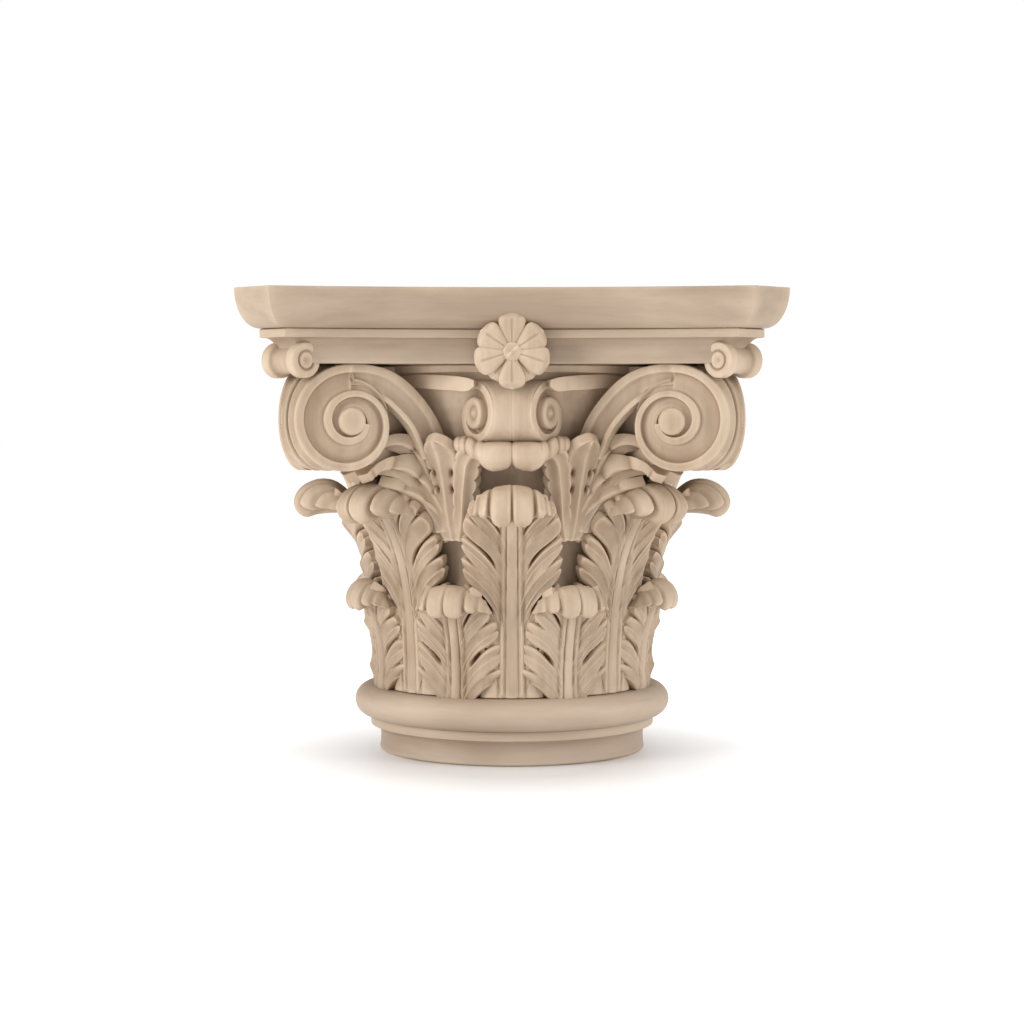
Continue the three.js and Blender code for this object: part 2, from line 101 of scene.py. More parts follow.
class Part:
    """Closed shells gathered into one mesh."""

    def __init__(self):
        self.v, self.f, self.n, self.c = [], [], 0, []

    def put(self, verts, faces, shade_mask=None):
        verts = np.asarray(verts, float).reshape(-1, 3)
        faces = np.asarray(faces, int).reshape(-1, 4)
        a, b, c, d = (verts[faces[:, k]] for k in range(4))
        vol = np.einsum("ij,ij->i", a, np.cross(b, c)).sum() + np.einsum("ij,ij->i", a, np.cross(c, d)).sum()
        if vol < 0:
            faces = faces[:, ::-1]
        self.v.append(verts)
        self.f.append(faces + self.n)
        # each shell keeps a painted shade amount per vertex, zero unless given
        self.c.append(np.zeros(len(verts)) if shade_mask is None else np.asarray(shade_mask, float).ravel())
        self.n += len(verts)
        return self

    def shell(self, front, back, shade_mask=None):
        """Two grids of one size, joined round the edge."""
        nj, ni = front.shape[:2]
        idx = np.arange(nj * ni).reshape(nj, ni)
        q = np.stack([idx[:-1, :-1], idx[:-1, 1:], idx[1:, 1:], idx[1:, :-1]], -1).reshape(-1, 4)
        qb = q[:, ::-1] + nj * ni
        edge = np.r_[idx[0, :], idx[1:, -1], idx[-1, -2::-1], idx[-2:0:-1, 0]]
        nxt = np.roll(edge, -1)
        side = np.stack([nxt, edge, edge + nj * ni, nxt + nj * ni], -1)
        v = np.vstack([front.reshape(-1, 3), back.reshape(-1, 3)])
        cc = None
        # the back grid gets a fixed painted shade, as backs and undersides sit in shade
        if shade_mask is not None:
            cc = np.r_[np.asarray(shade_mask).ravel(), np.full(nj * ni, 0.3)]
        return self.put(v, np.vstack([q, qb, side]), cc)

    def skin(self, rings, shade_mask=None):
        """Closed loops one after another, closed at each end in quads of a fan."""
        rings = np.asarray(rings, float)
        nk, n = rings.shape[:2]
        idx = np.arange(nk * n).reshape(nk, n)
        nx = np.roll(idx, -1, axis=1)
        q = np.stack([idx[:-1], nx[:-1], nx[1:], idx[1:]], -1).reshape(-1, 4)
        ends = []
        v = [rings.reshape(-1, 3), rings[0].mean(0)[None], rings[-1].mean(0)[None]]
        lo, hi = nk * n, nk * n + 1
        for k in range(n):
            m = (k + 1) % n
            ends.append([idx[0, m], idx[0, k], lo, lo])
            ends.append([idx[-1, k], idx[-1, m], hi, hi])
        cc = None
        # the fan centres at the ends get the same fixed painted shade
        if shade_mask is not None:
            cc = np.r_[np.asarray(shade_mask).ravel(), 0.3, 0.3]
        return self.put(np.vstack(v), np.vstack([q, ends]), cc)

    def lathe(self, profile, n=160):
        """A closed profile of (r, z) that starts and ends on the axis."""
        p = np.array(profile, float)
        az = np.arange(n) * 2 * math.pi / n
        inner = p[1:-1]
        rings = np.stack([place(az, r, z) for r, z in inner])
        return self.skin(rings)

    def copy(self, other, turn=0.0, mirror=False):
        for v, f, c in zip(other.v, other.f, other.c):
            w = v.copy()
            if mirror:
                w[:, 0] *= -1
            a = turn * RAD
            w = w @ np.array([[math.cos(a), math.sin(a), 0], [-math.sin(a), math.cos(a), 0], [0, 0, 1]])
            start = f.min() if len(f) else 0
            g = f - self.base(other, v)
            self.put(w, g, c)
        return self

    @staticmethod
    def base(other, v):
        n = 0
        for w in other.v:
            if w is v:
                return n
            n += len(w)
        return n

    def build(self, name, material, slot, nodes, angle=38):
        v = np.vstack(self.v) * MM
        f = np.vstack(self.f)
        tri = f[:, 2] == f[:, 3]
        me = bpy.data.meshes.new(name)
        faces = [tuple(map(int, q[:3])) for q in f[tri]] + [tuple(map(int, q)) for q in f[~tri]]
        # a quad may name its last corner twice from either end
        faces = [tuple(dict.fromkeys(q)) for q in faces]
        me.from_pydata([tuple(p) for p in v], [], [q for q in faces if len(q) > 2])
        me.update()
        # the per-vertex painted shade amounts go into an attribute that the wood material reads
        shade_mask = me.attributes.new("painted_shade", "FLOAT", "POINT")
        shade_mask.data.foreach_set("value", np.concatenate(self.c).astype(np.float32))
        ob = bpy.data.objects.new(name, me)
        bpy.context.scene.collection.objects.link(ob)
        me.polygons.foreach_set("use_smooth", np.ones(len(me.polygons), bool))
        me.set_sharp_from_angle(angle=angle * RAD)
        me.materials.append(material)
        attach(ob, "root")
        if nodes:
            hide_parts(*nodes)
        return ob


# ------------------------------------------------------------------ materials
# the dark brown given after the grain colours is painted shade that recesses and creases are tinted toward
def wood(name, light, dark, grain, painted_shade=(0.16, 0.075, 0.03), rough=0.52, scale=1.0):
    m = bpy.data.materials.new(name)
    m.use_nodes = True
    nt = m.node_tree
    n, l = nt.nodes, nt.links
    n.clear()
    out = n.new("ShaderNodeOutputMaterial")
    bsdf = n.new("ShaderNodeBsdfPrincipled")
    l.new(bsdf.outputs[0], out.inputs[0])
    tc = n.new("ShaderNodeTexCoord")

    def mapped(sc):
        mp = n.new("ShaderNodeMapping")
        mp.inputs["Scale"].default_value = sc
        l.new(tc.outputs["Object"], mp.inputs[0])
        return mp

    def noise(sc, scale_, detail, rough_=0.55):
        t = n.new("ShaderNodeTexNoise")
        t.inputs["Scale"].default_value = scale_
        t.inputs["Detail"].default_value = detail
        t.inputs["Roughness"].default_value = rough_
        l.new(mapped(sc).outputs[0], t.inputs["Vector"])
        return t

    fibre = noise(grain, 60 * scale, 6, 0.6)
    pore = noise(tuple(g * 3 if g > 0.5 else g for g in grain), 190 * scale, 3, 0.5)
    cloud = noise((1, 1, 1), 9, 3)
    ramp = n.new("ShaderNodeValToRGB")
    ramp.color_ramp.elements[0].position = 0.40
    ramp.color_ramp.elements[0].color = (*dark, 1)
    ramp.color_ramp.elements[1].position = 0.62
    ramp.color_ramp.elements[1].color = (*light, 1)
    mixv = n.new("ShaderNodeMath")
    mixv.operation = "MULTIPLY_ADD"
    l.new(fibre.outputs[0], mixv.inputs[0])
    mixv.inputs[1].default_value = 0.55
    addc = n.new("ShaderNodeMath")
    addc.operation = "MULTIPLY"
    l.new(cloud.outputs[0], addc.inputs[0])
    addc.inputs[1].default_value = 0.47
    l.new(addc.outputs[0], mixv.inputs[2])
    l.new(mixv.outputs[0], ramp.inputs[0])
    # fine dark pores
    pr = n.new("ShaderNodeMapRange")
    pr.inputs["From Min"].default_value = 0.58
    pr.inputs["From Max"].default_value = 0.78
    pr.inputs["To Min"].default_value = 0.0
    pr.inputs["To Max"].default_value = 0.16
    l.new(pore.outputs[0], pr.inputs["Value"])
    mp = n.new("ShaderNodeMix")
    mp.data_type = "RGBA"
    mp.inputs["B"].default_value = (dark[0] * 0.62, dark[1] * 0.55, dark[2] * 0.48, 1)
    l.new(pr.outputs[0], mp.inputs["Factor"])
    l.new(ramp.outputs[0], mp.inputs["A"])
    # painted shade darkens the recesses and creases, and a painted highlight lightens the ridges
    at = n.new("ShaderNodeAttribute")
    at.attribute_name = "painted_shade"
    geo = n.new("ShaderNodeNewGeometry")
    # painted shade in creases: concave spots, where pointiness is low, are pulled toward the shade colour
    crease_shade = n.new("ShaderNodeMapRange")
    crease_shade.inputs["From Min"].default_value = 0.5
    crease_shade.inputs["From Max"].default_value = 0.43
    crease_shade.inputs["To Min"].default_value = 0.0
    crease_shade.inputs["To Max"].default_value = 0.5
    l.new(geo.outputs["Pointiness"], crease_shade.inputs["Value"])
    both = n.new("ShaderNodeMath")
    both.operation = "MAXIMUM"
    l.new(crease_shade.outputs[0], both.inputs[1])
    # painted shade mix: the per-vertex shade amount or the crease amount, whichever is larger, darkens the grain colour
    cm = n.new("ShaderNodeMix")
    cm.data_type = "RGBA"
    cm.inputs["B"].default_value = (*painted_shade, 1)
    l.new(at.outputs["Fac"], both.inputs[0])
    l.new(both.outputs[0], cm.inputs["Factor"])
    l.new(mp.outputs["Result"], cm.inputs["A"])
    # painted highlight: convex ridges, where pointiness is high, are lightened toward a brighter copy of the light
    # grain colour
    ridge_highlight = n.new("ShaderNodeMapRange")
    ridge_highlight.inputs["From Min"].default_value = 0.505
    ridge_highlight.inputs["From Max"].default_value = 0.57
    ridge_highlight.inputs["To Min"].default_value = 0.0
    ridge_highlight.inputs["To Max"].default_value = 0.55
    l.new(geo.outputs["Pointiness"], ridge_highlight.inputs["Value"])
    highlight_mix = n.new("ShaderNodeMix")
    highlight_mix.data_type = "RGBA"
    highlight_mix.inputs["B"].default_value = (min(light[0] * 1.28, 1), min(light[1] * 1.28, 1), min(light[2] * 1.26, 1), 1)
    l.new(ridge_highlight.outputs[0], highlight_mix.inputs["Factor"])
    l.new(cm.outputs["Result"], highlight_mix.inputs["A"])
    l.new(highlight_mix.outputs["Result"], bsdf.inputs["Base Color"])
    rr = n.new("ShaderNodeMapRange")
    rr.inputs["To Min"].default_value = rough - 0.06
    rr.inputs["To Max"].default_value = rough + 0.08
    l.new(fibre.outputs[0], rr.inputs["Value"])
    l.new(rr.outputs[0], bsdf.inputs["Roughness"])
    bump = n.new("ShaderNodeBump")
    bump.inputs["Strength"].default_value = 0.18
    bump.inputs["Distance"].default_value = 0.0006
    l.new(mixv.outputs[0], bump.inputs["Height"])
    l.new(bump.outputs[0], bsdf.inputs["Normal"])
    bsdf.inputs["Specular IOR Level"].default_value = 0.35
    return m


LIGHT = (0.486, 0.378, 0.279)
DARK = (0.326, 0.235, 0.158)
carving = wood("carved_wood", LIGHT, DARK, (1, 1, 0.12))
board = wood("abacus_wood", (0.396, 0.306, 0.226), (0.286, 0.212, 0.150), (0.10, 1, 1))
ringwood = wood("ring_wood", (0.470, 0.368, 0.278), (0.350, 0.262, 0.190), (0.12, 0.12, 1.0))

# ------------------------------------------------------------------ neck ring
NECK_R, NECK_TOP, FILLET_R, TORUS_LOW, RING_TOP, TORUS_R = 89, 16.5, 95, 22.6, 43.3, 105.5
ring = Part()
prof = [(0, 0), (NECK_R - 0.9, 0), (NECK_R - 0.25, 0.5), (NECK_R, 1.2), (NECK_R - 0.6, 4), (NECK_R - 0.8, 9), (NECK_R - 0.5, 12.5), (NECK_R + 0.4, 14.6), (NECK_R + 1.6, 15.6), (NECK_R + 2.6, 16.2), (NECK_R + 2.9, NECK_TOP)]
prof += [(FILLET_R - 0.7, NECK_TOP), (FILLET_R - 0.15, NECK_TOP + 0.3), (FILLET_R, NECK_TOP + 0.9), (FILLET_R, TORUS_LOW - 0.7), (FILLET_R - 0.3, TORUS_LOW - 0.1)]
half = (RING_TOP - TORUS_LOW) / 2
for k in range(25):
    a = (-90 + 180 * k / 24) * RAD
    prof.append((TORUS_R - half - 1.5 + (half + 1.5) * max(math.cos(a), 0) ** 0.9, TORUS_LOW + half + half * math.sin(a)))
prof += [(92, RING_TOP), (60, RING_TOP - 0.4), (0, RING_TOP - 0.4)]
ring.lathe(prof, 180)
ring.build("neck_ring_turned", ringwood, "ring_wood", ["neck_ring"], 30)

# ------------------------------------------------------------------ abacus
ABACUS_LOW, FRIEZE_TOP, FILLET_LOW, FILLET_TOP, HEIGHT, SAG = 254.4, 265.0, 270.0, 275.4, 300.0, 19.0
TOPC, FILC, FRIC = np.array([144.2, 167.7]), np.array([136.0, 153.4]), np.array([130.0, 145.0])
levels = [(FRIC - 1.0, ABACUS_LOW), (FRIC - 0.2, ABACUS_LOW + 0.3), (FRIC, ABACUS_LOW + 1.0)]
for z in (258, 262, FRIEZE_TOP):
    levels.append((FRIC, z))
for k in range(1, 9):  # cavetto under the fillet
    a = k / 8 * math.pi / 2
    levels.append((FRIC + (FILC - FRIC) * 0.8 * (1 - math.cos(a)), FRIEZE_TOP + (FILLET_LOW - FRIEZE_TOP) * math.sin(a)))
levels += [(FILC - 0.25, FILLET_LOW), (FILC, FILLET_LOW + 0.3), (FILC, FILLET_TOP - 0.6), (FILC - 0.5, FILLET_TOP - 0.1), (FILC - 2.0, FILLET_TOP)]
for k in range(0, 21):
    a = k / 20 * math.pi / 2
    levels.append((FILC + (TOPC - FILC) * (0.02 + 0.98 * math.sin(a)), FILLET_TOP + 0.2 + (HEIGHT - 0.6 - FILLET_TOP) * (1 - math.cos(a))))
levels += [(TOPC - 0.1, HEIGHT - 0.15), (TOPC - 0.5, HEIGHT)]


def abacus_ring(c, z, n=56):
    near, far = c
    x = np.linspace(-near, near, n + 1)
    y = -(far - SAG * (1 - (x / near) ** 2))
    side = np.stack([x, y, np.full_like(x, z)], -1)
    out = []
    for k in range(4):
        a = k * math.pi / 2
        R = np.array([[math.cos(a), math.sin(a), 0], [-math.sin(a), math.cos(a), 0], [0, 0, 1]])
        out.append(side @ R)
        # the cut corner gets a few points of its own
        e0 = out[-1][-1]
        e1 = side[0] @ np.array([[math.cos(a + math.pi / 2), math.sin(a + math.pi / 2), 0], [-math.sin(a + math.pi / 2), math.cos(a + math.pi / 2), 0], [0, 0, 1]])
        t = np.linspace(0, 1, 8)[1:-1, None]
        out.append(e0 + (e1 - e0) * t)
    return np.vstack(out)


ab = Part()
ab.skin(np.stack([abacus_ring(c, z) for c, z in levels]))
ab.build("abacus_board", board, "abacus_wood", ["abacus"], 32)

# ------------------------------------------------------------------ bell
FOOT = RING_TOP + 0.3
BELL_TOP = 254.1
bell = Part()
bp = spline([(85.5, FOOT), (85.5, 110), (87, 135), (90, 148.6)])
bq = spline([(91, 150.2), (94, 168), (100, 192), (108, 222), (116, 244), (118.5, 249)])
prof = [(0, FOOT)] + [tuple(bp(t)) for t in np.linspace(0, 1, 24)] + [(91.4, 148.8), (91.6, 149.6)] + [tuple(bq(t)) for t in np.linspace(0, 1, 40)]
prof += [(119.6, 249.4), (120, 250.5), (120, 253.4), (119.4, BELL_TOP), (0, BELL_TOP)]
prof = [(r + (0.22 * math.sin(z * 1.7) if 50 < z < 246 and 0 < r else 0), z) for r, z in prof]
bell.lathe(prof, 128)
# painted shade: the whole bell is darkened a little toward the shade colour, as it sits deep behind the leaves
bell.c = [np.full(len(v), 0.10) for v in bell.v]


# ------------------------------------------------------------------ acanthus leaves
_vein = spline([(0, 0), (0.05, 0.14), (0.15, 0.34), (0.3, 0.55), (0.5, 0.75), (0.75, 0.91), (1.0, 1.02)])(np.linspace(0, 1, 200))


def VEIN(reach):
    """Height gained along a vein against its reach from stalk to edge."""
    return np.interp(reach, _vein[:, 0], _vein[:, 1])


def leaf_body(curve, half_w, stalk, t_range, rise, slits, nicks, thick, wrap, nq=120, npp=18, deep=1.4):
    """Half a leaf blade, mirrored: veins leave the stalk steeply and lean out to the edge.

    A slit is (place, depth, mouth depth, fall below, fall above); a nick is (place, depth, fall below, fall above).
    Each leaflet reaches furthest just under the slit or nick above it.
    """
    out = Part()
    L = curve.length
    marks_at = [c[0] for c in slits] + [c[0] for c in nicks]
    dens = np.ones(4000)
    qq = np.linspace(0, 1, 4000)
    for c in marks_at:
        dens += 4 * np.exp(-(((qq - c) / 0.014) ** 2))
    cum = np.cumsum(dens)
    cum = (cum - cum[0]) / (cum[-1] - cum[0])
    q = np.interp(np.linspace(0, 1, nq), cum, qq)
    for c in marks_at:
        q[np.argmin(np.abs(q - c))] = c
    p = np.linspace(0, 1, npp) ** 0.9
    Q, P = np.meshgrid(q, p, indexing="ij")
    env = np.interp(q, half_w[0], half_w[1])
    span = t_range[1] - t_range[0]
    D = np.zeros_like(q)
    for c, d, m, lo, hi in slits:
        x = np.where(q < c, np.clip(1 - (c - q) / lo, 0, 1), np.clip(1 - (q - c) / hi, 0, 1))
        D = np.maximum(D, m * x**1.7)
    for c, d, lo, hi in nicks:
        x = np.where(q < c, np.clip(1 - (c - q) / lo, 0, 1), np.clip(1 - (q - c) / hi, 0, 1))
        D = np.maximum(D, d * x**1.8)
    W = (env * (1 - D))[:, None]
    ws = np.interp(q, [0, 1], stalk)[:, None]
    rise_q = np.interp(q, rise[0], rise[1])[:, None]
    X = ws - 0.3 + (W - ws + 0.3) * P**1.25
    reach = np.clip((X - ws) / (env[:, None] - ws), 0, 1)
    T = t_range[0] + span * Q + rise_q * VEIN(reach)
    T = np.where(T < 1, 1 + (T - 1) * 0.02, T)
    T = np.minimum(T, L * 0.995 - np.clip(L - T, -60, 0) * -0.01)
    # relief: a hollow down every finger, each lobe swelling between its slits
    main = [c for c in nicks if c[1] > 0.12]
    marks = sorted([0.0] + [c[0] for c in slits] + [c[0] for c in main] + [1.0])
    lobes = sorted([0.0] + [c[0] for c in slits] + [1.0])
    H = np.zeros_like(X)
    # painted shade: the hollows, drilled holes, grooves by the stalk, the edge and the low parts of the relief are
    # darkened
    shade_mask = np.zeros_like(X)
    for a, b in zip(marks[:-1], marks[1:]):
        w = (Q - a) / (b - a)
        inside = (w >= 0) & (w <= 1)
        hollow = np.sin(np.pi * np.clip(w, 0, 1)) ** 0.6
        H -= np.where(inside, hollow * deep * (0.3 + 0.7 * smooth(reach, 0.1, 0.5)) * smooth(reach, 0.0, 0.08), 0)
        shade_mask = np.maximum(shade_mask, np.where(inside, 0.15 * hollow * smooth(reach, 0.05, 0.4), 0))
        H += np.where(inside, 0.6 * np.exp(-(((w - 0.45) * (b - a) * span / 0.9) ** 2)) * smooth(reach, 0.05, 0.2) * (1 - smooth(reach, 0.7, 0.95)), 0)
    for a, b in zip(lobes[:-1], lobes[1:]):
        w = (Q - a) / (b - a)
        inside = (w >= 0) & (w <= 1)
        H += np.where(inside, 1.9 * np.sin(np.pi * np.clip(w, 0, 1)) ** 0.6 * smooth(reach, 0.2, 0.6), 0)
    for c, d, m, lo, hi in slits:
        w = np.abs(Q - c) * span
        inner = 1 - d
        # a drilled, drop-shaped hole at the inner end that narrows toward the mouth
        wide = 1.5 - 0.8 * smooth(reach, inner, inner + 0.3)
        cut = smooth(reach, inner - 0.13, inner - 0.01)
        H += 0.8 * np.exp(-((w - 2.7) ** 2) / 1.2) * smooth(reach, inner - 0.15, inner)
        H -= (4.6 - 2.0 * smooth(reach, inner + 0.05, inner + 0.35)) * np.exp(-((w / wide) ** 4)) * cut
        # painted shadow inside the drilled hole, fading toward the mouth
        shade_mask = np.maximum(shade_mask, (0.95 - 0.3 * smooth(reach, inner + 0.05, inner + 0.35)) * np.exp(-((w / (wide + 0.1)) ** 4)) * cut)
        H -= 0.5 * np.exp(-((w / 1.6) ** 2)) * smooth(reach, 0.02, inner - 0.1)
    for c, d, lo, hi in main:
        w = np.abs(Q - c) * span
        H += 0.7 * np.exp(-((w / 1.5) ** 2)) * smooth(reach, 0.1, 0.4) * (1 - smooth(reach, 0.6, 0.72))
        H -= 1.5 * np.exp(-((w / 0.9) ** 2)) * smooth(reach, 1 - d - 0.24, 1 - d - 0.08)
        # painted shade in the groove at the inner end of each deep nick
        shade_mask = np.maximum(shade_mask, 0.5 * np.exp(-((w / 1.0) ** 2)) * smooth(reach, 1 - d - 0.24, 1 - d - 0.08))
    H += -1.4 * np.exp(-(((X - ws - 0.5) / 0.8) ** 2)) + 0.8 * np.exp(-(((X - ws - 2.6) / 1.2) ** 2)) - 0.9 * np.exp(-(((X - ws - 4.8) / 0.9) ** 2))
    edge = smooth(P, 0.84, 1.0)
    H += 1.2 * np.sin(np.pi * reach) - 1.0 * reach**2 - 1.6 * edge**2
    S = T / L
    # painted shade along the grooves beside the stalk, at the leaf edge and wherever the relief sinks low
    shade_mask = np.maximum(shade_mask, 0.4 * np.exp(-(((X - ws - 0.5) / 0.7) ** 2)) + 0.3 * np.exp(-(((X - ws - 4.8) / 0.8) ** 2)))
    shade_mask = np.clip(np.maximum(shade_mask, 0.3 * smooth(P, 0.94, 1.0)), 0, 1)
    shade_mask = np.clip(shade_mask + 0.30 * np.clip((0.4 - H) / 3.0, 0, 1), 0, 0.95)
    base = curve(S)
    nn = normals(curve, S)
    for side in (1, -1):
        F = place(side * X / wrap(base[..., 1]), base[..., 0] + nn[..., 0] * (H + thick / 2), base[..., 1] + nn[..., 1] * (H + thick / 2))
        B = place(side * X / wrap(base[..., 1]), base[..., 0] - nn[..., 0] * thick / 2, base[..., 1] - nn[..., 1] * thick / 2)
        out.shell(F, B, shade_mask)
    return out


def leaf_stalk(curve, width, t0, t1, thick, wrap, n=46, high=1.25):
    out = Part()
    t = np.linspace(t0, t1, n)
    u = np.linspace(-1, 1, 13)
    T, U = np.meshgrid(t, u, indexing="ij")
    w = np.interp(T, [t0, t1], width)
    X = U * (w + 0.8)
    H = high * np.clip(1 - np.abs(U) ** 2.4, 0, 1) - 0.25
    S = T / curve.length
    base, nn = curve(S), normals(curve, S)
    F = place(X / wrap(base[..., 1]), base[..., 0] + nn[..., 0] * (H + thick / 2), base[..., 1] + nn[..., 1] * (H + thick / 2))
    B = place(X / wrap(base[..., 1]), base[..., 0] - nn[..., 0] * thick / 2, base[..., 1] - nn[..., 1] * thick / 2)
    # painted shade along the edges of the stalk
    out.shell(F, B, 0.25 * smooth(np.abs(U), 0.8, 1))
    return out


def leaf_curl(section, anchor, half, wrap_r, low, front, top, grooves, n=81, m=36, droop=3.0):
    """The rolled-over tip: a closed section carried across the leaf.

    low, front and top give how far the section reaches under, before and above its anchor, against |x| / half.
    grooves are the |x| / half of the creases between its lobes.
    """
    out = Part()
    sec = spline(section + [section[0]])
    s = sec(np.arange(m) / m)
    anchor = np.array(anchor, float)
    w = np.linspace(-1, 1, n)
    x = (w * 0.75 + np.sin(w * math.pi / 2) * 0.25) * half
    f = np.abs(x) / half
    fl, ff, ft = (np.interp(f, *c) for c in (low, front, top))
    rel = s - anchor
    below = smooth(-rel[:, 1], -1.0, 2.5)
    ahead = smooth(rel[:, 0], 0.0, 4.0)
    # creases bite at the lower front and fade over the top
    ang = np.degrees(np.arctan2(rel[:, 1], rel[:, 0]))
    bite = np.interp(ang, [-180, -120, -60, 10, 45, 80, 130, 180], [0.2, 1.0, 1.0, 0.8, 0.35, 0.15, 0.05, 0.1])
    rings, shade_mask = [], []
    for k in range(n):
        g = 0.0
        for c, depth, width in grooves:
            g = max(g, depth * math.exp(-(((f[k] - c) * half / width) ** 2)))
        ridge = 0.5 * math.exp(-(((f[k] - 0.2) * half / 2.2) ** 2))
        sc_z = ft[k] + (fl[k] - ft[k]) * below
        sc_r = 1 + (ff[k] - 1) * ahead
        p = rel * np.stack([sc_r * (1 - g * bite), sc_z * (1 - g * bite)], -1)
        p = anchor + p
        p[:, 1] -= droop * f[k] ** 2
        p[:, 0] += ridge * 0.4 * ahead
        rings.append(place(np.full(m, x[k] / wrap_r), p[:, 0], p[:, 1]))
        # painted shade in the creases between the lobes, strongest at the lower front
        shade_mask.append(np.clip(g * 2.6 * bite, 0, 0.7))
    out.skin(np.stack(rings), np.stack(shade_mask))
    return out


LOW = ([0, 0.05, 0.12, 0.25, 0.33, 0.40, 0.44, 0.47, 0.55, 0.63, 0.69, 0.72, 0.85, 1.0], [0.82, 0.89, 0.97, 0.97, 0.86, 0.70, 0.50, 0.44, 0.47, 0.40, 0.28, 0.22, 0.15, 0.05])
FRONT = ([0, 0.3, 0.42, 0.55, 0.7, 0.85, 0.95, 1.0], [1.0, 1.0, 0.94, 0.86, 0.70, 0.48, 0.28, 0.1])
TOP = ([0, 0.4, 0.6, 0.8, 0.93, 1.0], [1.0, 0.97, 0.88, 0.68, 0.4, 0.12])
CREASES = [(0.0, 0.10, 0.7), (0.44, 0.18, 1.2), (0.71, 0.15, 1.2), (0.88, 0.10, 1.2)]

# lower row
short_curve = spline([(90.5, 30), (90, FOOT), (89.6, 58), (91, 74), (94, 88), (97.5, 99), (101.5, 107), (106, 111.5), (110, 114)])
short = Part()
wrap_s = lambda z: np.interp(z, [43, 90, 116], [92.0, 96.0, 106.0])
short.copy(leaf_body(
    short_curve, ([0, 0.05, 0.1, 0.167, 0.25, 0.346, 0.45, 0.526, 0.6, 0.654, 0.756, 1.0], [14, 20, 26, 31.5, 31, 30.6, 29.5, 28.4, 26.5, 24.0, 22.0, 16]),
    (2.3, 1.9), (-14.0, 64.0), ([0, 0.2, 0.4, 0.75, 1.0], [28, 31, 33, 33, 22]),
    [(0.404, 0.60, 0.20, 0.035, 0.075), (0.756, 0.64, 0.12, 0.05, 0.07)], [(0.12, 0.08, 0.03, 0.05), (0.215, 0.22, 0.028, 0.07), (0.32, 0.07, 0.025, 0.04), (0.50, 0.07, 0.025, 0.04), (0.590, 0.22, 0.028, 0.055), (0.68, 0.06, 0.025, 0.03)],
    8.0, wrap_s, nq=100, npp=15, deep=2.0,
))
short.copy(leaf_stalk(short_curve, (2.3, 1.9), 4, 80, 8.0, wrap_s, n=36))
short.copy(leaf_curl(
    [(99, 96), (103, 97.8), (107.5, 97.2), (111, 95.6), (114, 98), (115, 103), (113.6, 109), (109, 114.5), (103, 116.2), (97.5, 113.5), (94.5, 106), (95.5, 99)],
    (99, 106.5), 27.5, 106.0, LOW, FRONT, TOP, CREASES, n=71, m=32, droop=8.0,
))

# upper row
tall_curve = spline([(87.5, FOOT), (88, 70), (90, 95), (93.3, 116), (97.8, 133), (103.2, 146), (109.5, 157), (116, 166), (122, 172)])
tall = Part()
wrap_t = lambda z: np.interp(z, [43, 100, 150, 175], [90.0, 95.0, 106.0, 124.0])
tall.copy(leaf_body(
    tall_curve, ([0, 0.08, 0.16, 0.25, 0.386, 0.55, 0.62, 0.69, 0.735, 0.8, 0.871, 0.93, 1.0], [14, 22, 28, 31, 33.2, 33.4, 32.8, 31.2, 29.5, 28.0, 25, 22, 17]),
    (3.1, 2.3), (-20.0, 112.0), ([0, 0.3, 0.75, 0.9, 1.0], [36, 44, 44, 34, 24]),
    [(0.152, 0.58, 0.16, 0.03, 0.05), (0.386, 0.60, 0.17, 0.032, 0.055), (0.633, 0.62, 0.16, 0.032, 0.045), (0.871, 0.68, 0.10, 0.04, 0.05)],
    [(0.295, 0.19, 0.022, 0.05), (0.455, 0.06, 0.02, 0.03), (0.520, 0.20, 0.022, 0.05), (0.58, 0.05, 0.02, 0.025), (0.748, 0.19, 0.022, 0.045)],
    8.5, wrap_t, nq=136, npp=16, deep=2.2,
))
tall.copy(leaf_stalk(tall_curve, (3.1, 2.3), 0.4, 128, 8.5, wrap_t, n=50))
# plain lower stem between the leaves of the first row, fluted and flaring at the foot
stem = Part()
t = np.linspace(0.4, 62, 16)
u = np.linspace(-1, 1, 41)
T, U = np.meshgrid(t, u, indexing="ij")
X = U * np.interp(T, [0, 10, 20, 62], [20, 18, 17, 18])
S = T / tall_curve.length
base, nn = tall_curve(S), normals(tall_curve, S)
H = 0.7 * np.cos((np.abs(X) - 6.2) * 2 * math.pi / 4.8) * smooth(np.abs(X), 2.5, 4.5) * (1 - smooth(np.abs(X), 8.5, 11.5)) - 1.6 * U**4 + 0.3 - 4.5 * smooth(T, 44, 62)
F = place(X / wrap_t(base[..., 1]), base[..., 0] + nn[..., 0] * (H + 4.25), base[..., 1] + nn[..., 1] * (H + 4.25))
B = place(X / wrap_t(base[..., 1]), base[..., 0] - 6, base[..., 1])
# painted shade in the flutes of the stem
stem.shell(F, B, 0.4 * np.exp(-(((np.abs(X) - 3.8) / 0.8) ** 2)) + 0.35 * np.exp(-(((np.abs(X) - 8.6) / 0.8) ** 2)))
tall.copy(stem)
tall_tip = leaf_curl(
    [(106, 153), (113, 157), (122, 157.5), (131, 156.5), (137.5, 154.6), (143, 157.5), (146, 163.5), (145, 170), (140, 176), (131, 180), (121, 179.6), (112.5, 174.5), (106, 166), (102.5, 156)],
    (112, 169), 29.0, 128.0, LOW, FRONT, TOP, CREASES, n=91, m=40, droop=8.5,
)

row1 = Part()
for k in range(8):
    row1.copy(short, 22.5 + 45 * k)
row2 = Part()
tips2 = Part()
for k in range(8):
    row2.copy(tall, 45 * k)
    tips2.copy(tall_tip, 45 * k)

# ------------------------------------------------------------------ stalk leaves
MID = 22.5 * RAD


